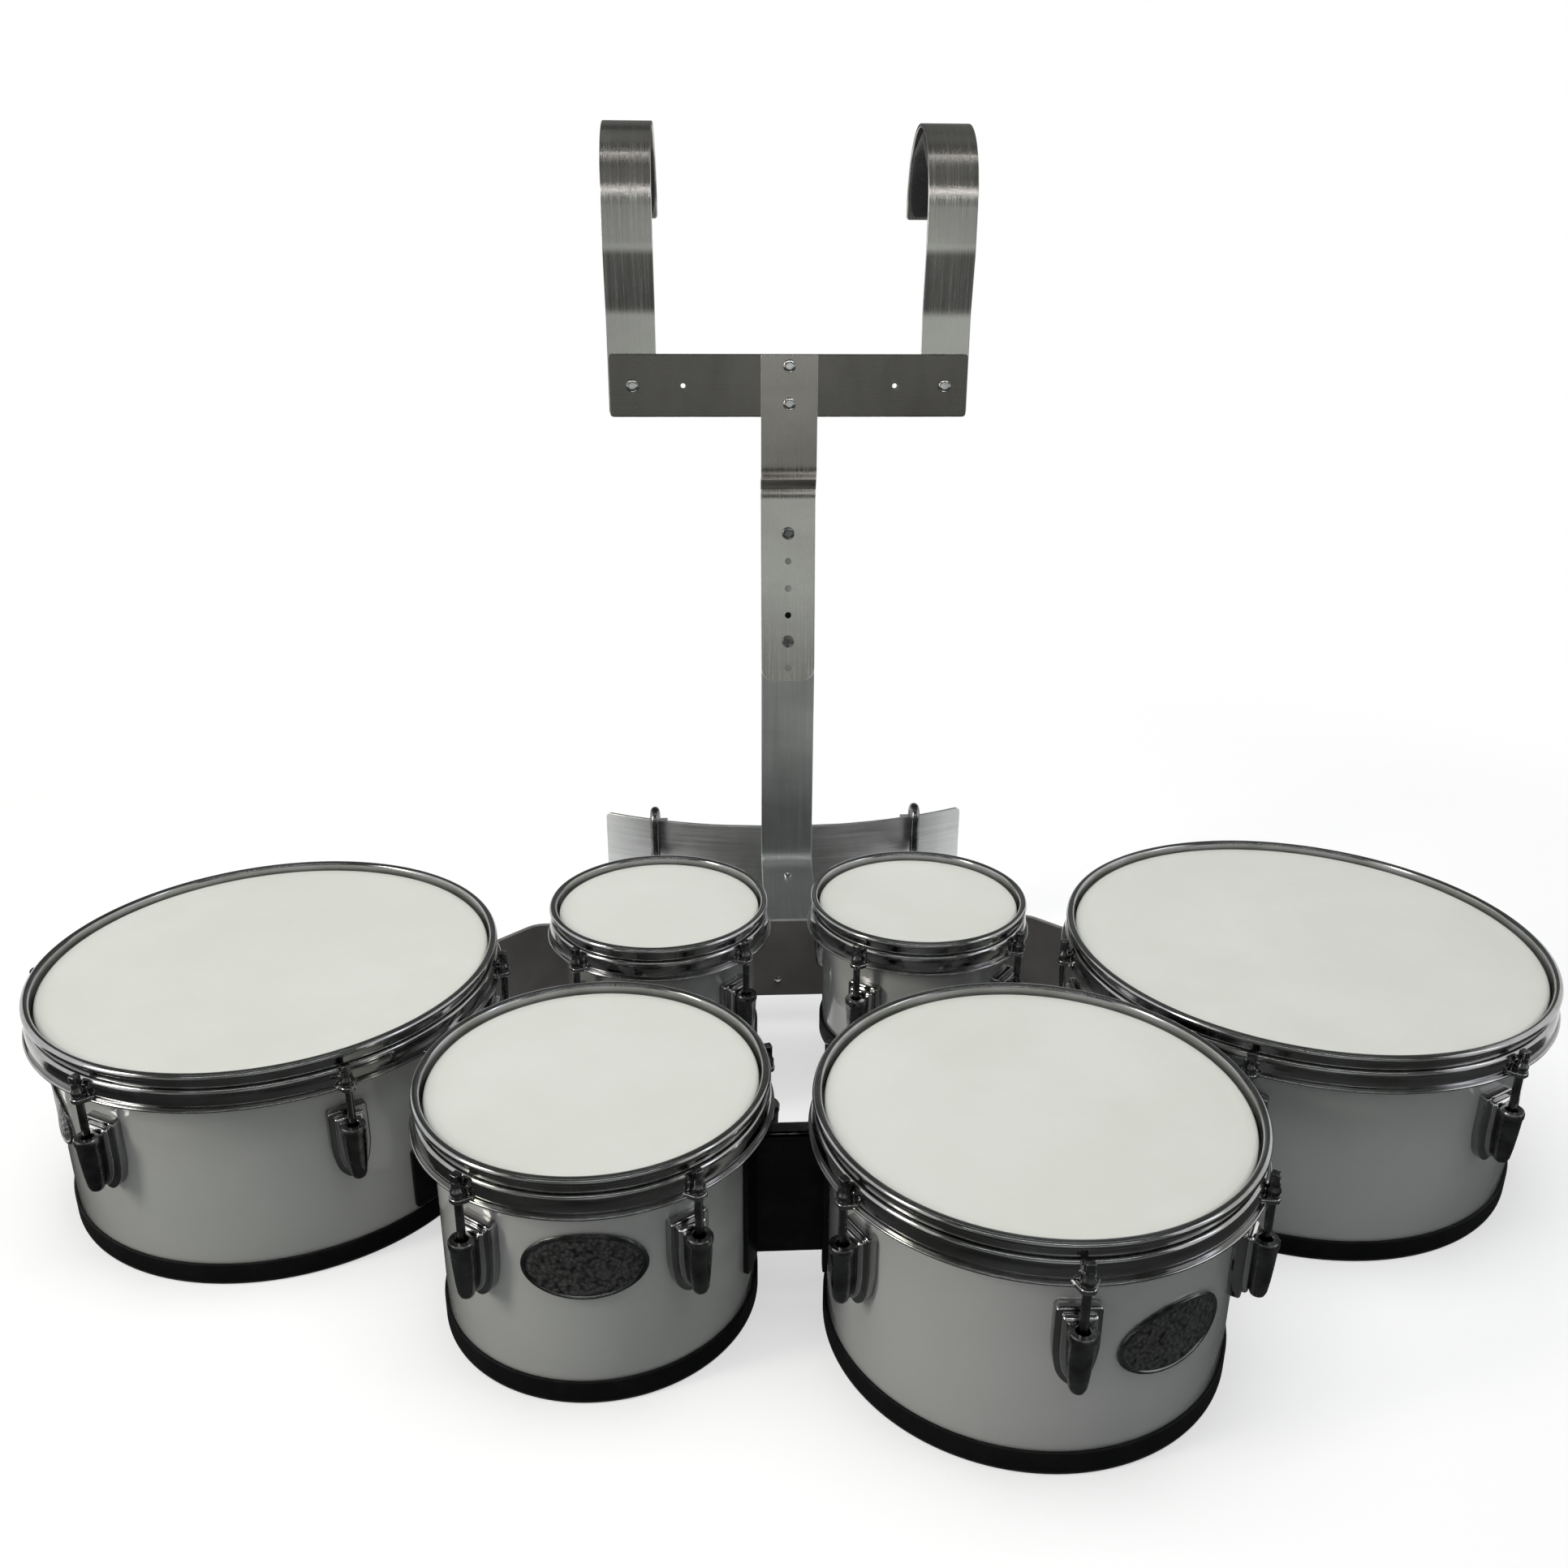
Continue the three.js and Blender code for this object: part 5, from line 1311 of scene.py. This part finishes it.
def belly_screw():
    """The belly plate's screw, whose head is on the player's side and whose tip is tapped into the post."""
    tip, seat = SCREW_TIP, BELLY_FRONT + SHEET + GAP
    shape = lathe([
        (0, tip), (2.0, tip), (2.4, tip + 0.4), (2.4, seat), (5.4, seat), (5.3, seat + 1.3), (4.6, seat + 2.5),
        (3.2, seat + 3.0), (1.7, seat + 2.9), (1.6, seat + 1.7), (0, seat + 1.7),
    ], 24)
    turned = placed(shape, (CARRIER_X, 0, TOP + SCREW_LEVEL), *ALONG_Y)
    piece("belly_bolt", "carrier", [STEEL_AND_PAINTED_SHADE], [turned], ["belly_screw"])


lower_post()
upper_post()
cross_plate()
clamp_plate()
for word, side in SIDES:
    shoulder_hook(word, side)
    shoulder_lining(word, side)
belly_plate()
belly_pad()
hook_rods()
receivers()
clamps()
wing_screws()
bolts()
tongue_screw()
belly_screw()


# Stage, in metres
def stage_piece(name, points, faces):
    """A piece of the stage with a material of its own, returned with the material's empty node tree."""
    mesh = bpy.data.meshes.new(name)
    mesh.from_pydata(points, [], faces)
    made = bpy.data.objects.new(name, mesh)
    bpy.context.scene.collection.objects.link(made)
    material = bpy.data.materials.new(name)
    material.use_nodes = True
    mesh.materials.append(material)
    material.node_tree.nodes.clear()
    return made, material.node_tree


def either(tree, first, second):
    """The higher of two values, as for a ray of either kind."""
    return node(tree, "Math", {0: first, 1: second}, operation="MAXIMUM").outputs[0]


def glow(tree, colour, strength):
    """Light that a surface gives off."""
    return node(tree, "Emission", {"Color": colour, "Strength": strength}).outputs[0]


def mixed_shader(tree, amount, first, second):
    """Two shaders mixed by an amount."""
    return node(tree, "MixShader", {0: amount, 1: first, 2: second}).outputs[0]


def floor():
    """A plain pale floor that keeps the object's shadow, and from 0.75 to 1.5 m away fades to white."""
    reach, half, white = 12, 0.50, (1, 1, 1, 1)
    corners = [(-reach, -reach, 0), (reach, -reach, 0), (reach, reach, 0), (-reach, reach, 0)]
    made, tree = stage_piece("floor", corners, [(0, 1, 2, 3)])
    made.location.z = -0.0005
    seen = node(tree, "LightPath").outputs
    shown = either(tree, seen["Is Camera Ray"], seen["Is Glossy Ray"])
    lit = node(tree, "BsdfDiffuse", {"Color": (half, half, half, 1)}).outputs[0]
    near = node(tree, "AddShader", {0: lit, 1: glow(tree, white, times(tree, shown, 0.55))}).outputs[0]
    far = mixed_shader(tree, shown, lit, glow(tree, white, 1.0))
    distance = node(tree, "VectorMath", {0: on_piece(tree)}, operation="LENGTH").outputs["Value"]
    fade = node(tree, "MapRange", {0: distance, 1: 0.75, 2: 1.5}, interpolation_type="SMOOTHSTEP").outputs[0]
    node(tree, "OutputMaterial", {"Surface": mixed_shader(tree, fade, near, far)})


def world():
    """White where the camera or a reflection sees it, and a soft even light for everything else."""
    sky = bpy.data.worlds.new("studio")
    sky.use_nodes = True
    bpy.context.scene.world = sky
    tree = sky.node_tree
    tree.nodes.clear()
    seen = node(tree, "LightPath").outputs
    through = either(tree, seen["Is Camera Ray"], seen["Is Transmission Ray"])
    shown = either(tree, through, seen["Is Glossy Ray"])
    light = node(tree, "Background", {"Color": (0.93, 0.96, 1.0, 1), "Strength": 0.12}).outputs[0]
    white = node(tree, "Background", {"Color": (1, 1, 1, 1), "Strength": 1.0}).outputs[0]
    node(tree, "OutputWorld", {"Surface": mixed_shader(tree, shown, light, white)})


def dim_room():
    """Dark cards that only metal and gloss mirror. A wide one lies before the drums, curves up, runs back overhead and
    comes down behind, its corners quarter circles. A small one lies under the carrier. The light that they give off
    changes with height, with a paler band at about half a metre, and is uneven by noise."""
    front, back, ceiling, bend, half, lift = -1.9, 2.2, 2.2, 0.4, 2.6, 0.002
    turn = np.linspace(0, np.pi / 2, 9)
    swing, rise = bend * np.sin(turn), bend * np.cos(turn)
    y = np.concatenate([[-0.02], front - swing, front - rise, back + swing, [back + bend]])
    z = np.concatenate([[lift], lift + bend - rise, ceiling + swing, ceiling + rise, [0.5]])
    wide = np.stack([np.stack([np.full(len(y), x), y, z], -1) for x in (-half, half)])
    small = np.array([[[x, 0.12, lift], [x, 0.24, lift]] for x in (-0.1, 0.1)])
    points, faces = quads(wide)
    small_points, small_faces = quads(small)
    faces = np.vstack([faces, small_faces + len(points)])
    made, tree = stage_piece("dim_room", np.vstack([points, small_points]).tolist(), faces.tolist())
    place = on_piece(tree)
    uneven = ranged(tree, noise(tree, place, 1.6, 2.0), 0.35, 0.65, 0.5, 1.5)
    height = node(tree, "SeparateXYZ", {0: place}).outputs[2]
    shade = node(tree, "ValToRGB", {0: ranged(tree, height, 0.0, back + bend)})
    stops = [(0.0, 0.05), (0.02, 0.09), (0.09, 0.34), (0.20, 0.42), (0.32, 0.14), (1.0, 0.11)]
    for position, _ in stops[1:-1]:
        shade.color_ramp.elements.new(position)
    for stop, (position, level) in zip(shade.color_ramp.elements, stops):
        stop.position = position
        stop.color = (0.95 * level, level, 0.96 * level, 1)
    node(tree, "OutputMaterial", {"Surface": glow(tree, shade.outputs[0], uneven)})
    made.visible_camera = made.visible_diffuse = made.visible_shadow = made.visible_transmission = False


def softbox(name, place, aim, size, energy, colour=(1, 1, 1), mirrored=True, soft=True):
    """A rectangular lamp that looks from one point to another: metal mirrors it, or dull surfaces take its light."""
    data = bpy.data.lights.new(name, "AREA")
    data.shape = "RECTANGLE"
    data.size, data.size_y = size
    data.energy = energy
    data.color = colour
    lamp = bpy.data.objects.new(name, data)
    lamp.location = place
    lamp.rotation_euler = (Vector(aim) - Vector(place)).to_track_quat("-Z", "Y").to_euler()
    lamp.visible_glossy = mirrored
    lamp.visible_diffuse = soft
    bpy.context.scene.collection.objects.link(lamp)


floor()
world()
dim_room()
softbox("overhead", (0.0, -0.3, 2.3), (0, 0, 0), (2.4, 1.4), 41, mirrored=False)
softbox("front_tube", (0.0, -1.85, 1.5), (0, 0, 0.3), (2.8, 0.05), 4.0, soft=False)
softbox("middle_tube", (0.0, -0.3, 2.4), (0, 0, 0.1), (2.6, 0.06), 1.5, soft=False)
softbox("left_window", (-2.2, -0.9, 1.3), (0, 0, 0.15), (0.4, 1.2), 24, (1.0, 0.97, 0.88))
softbox("right_window", (2.2, -0.8, 1.4), (0, 0, 0.15), (0.3, 1.2), 3.0, (0.86, 0.90, 1.0))
softbox("back_fill", (0.0, 2.0, 1.1), (0, 0, 0.15), (2.0, 0.8), 14, mirrored=False)
bpy.context.scene.view_settings.view_transform = "Standard"
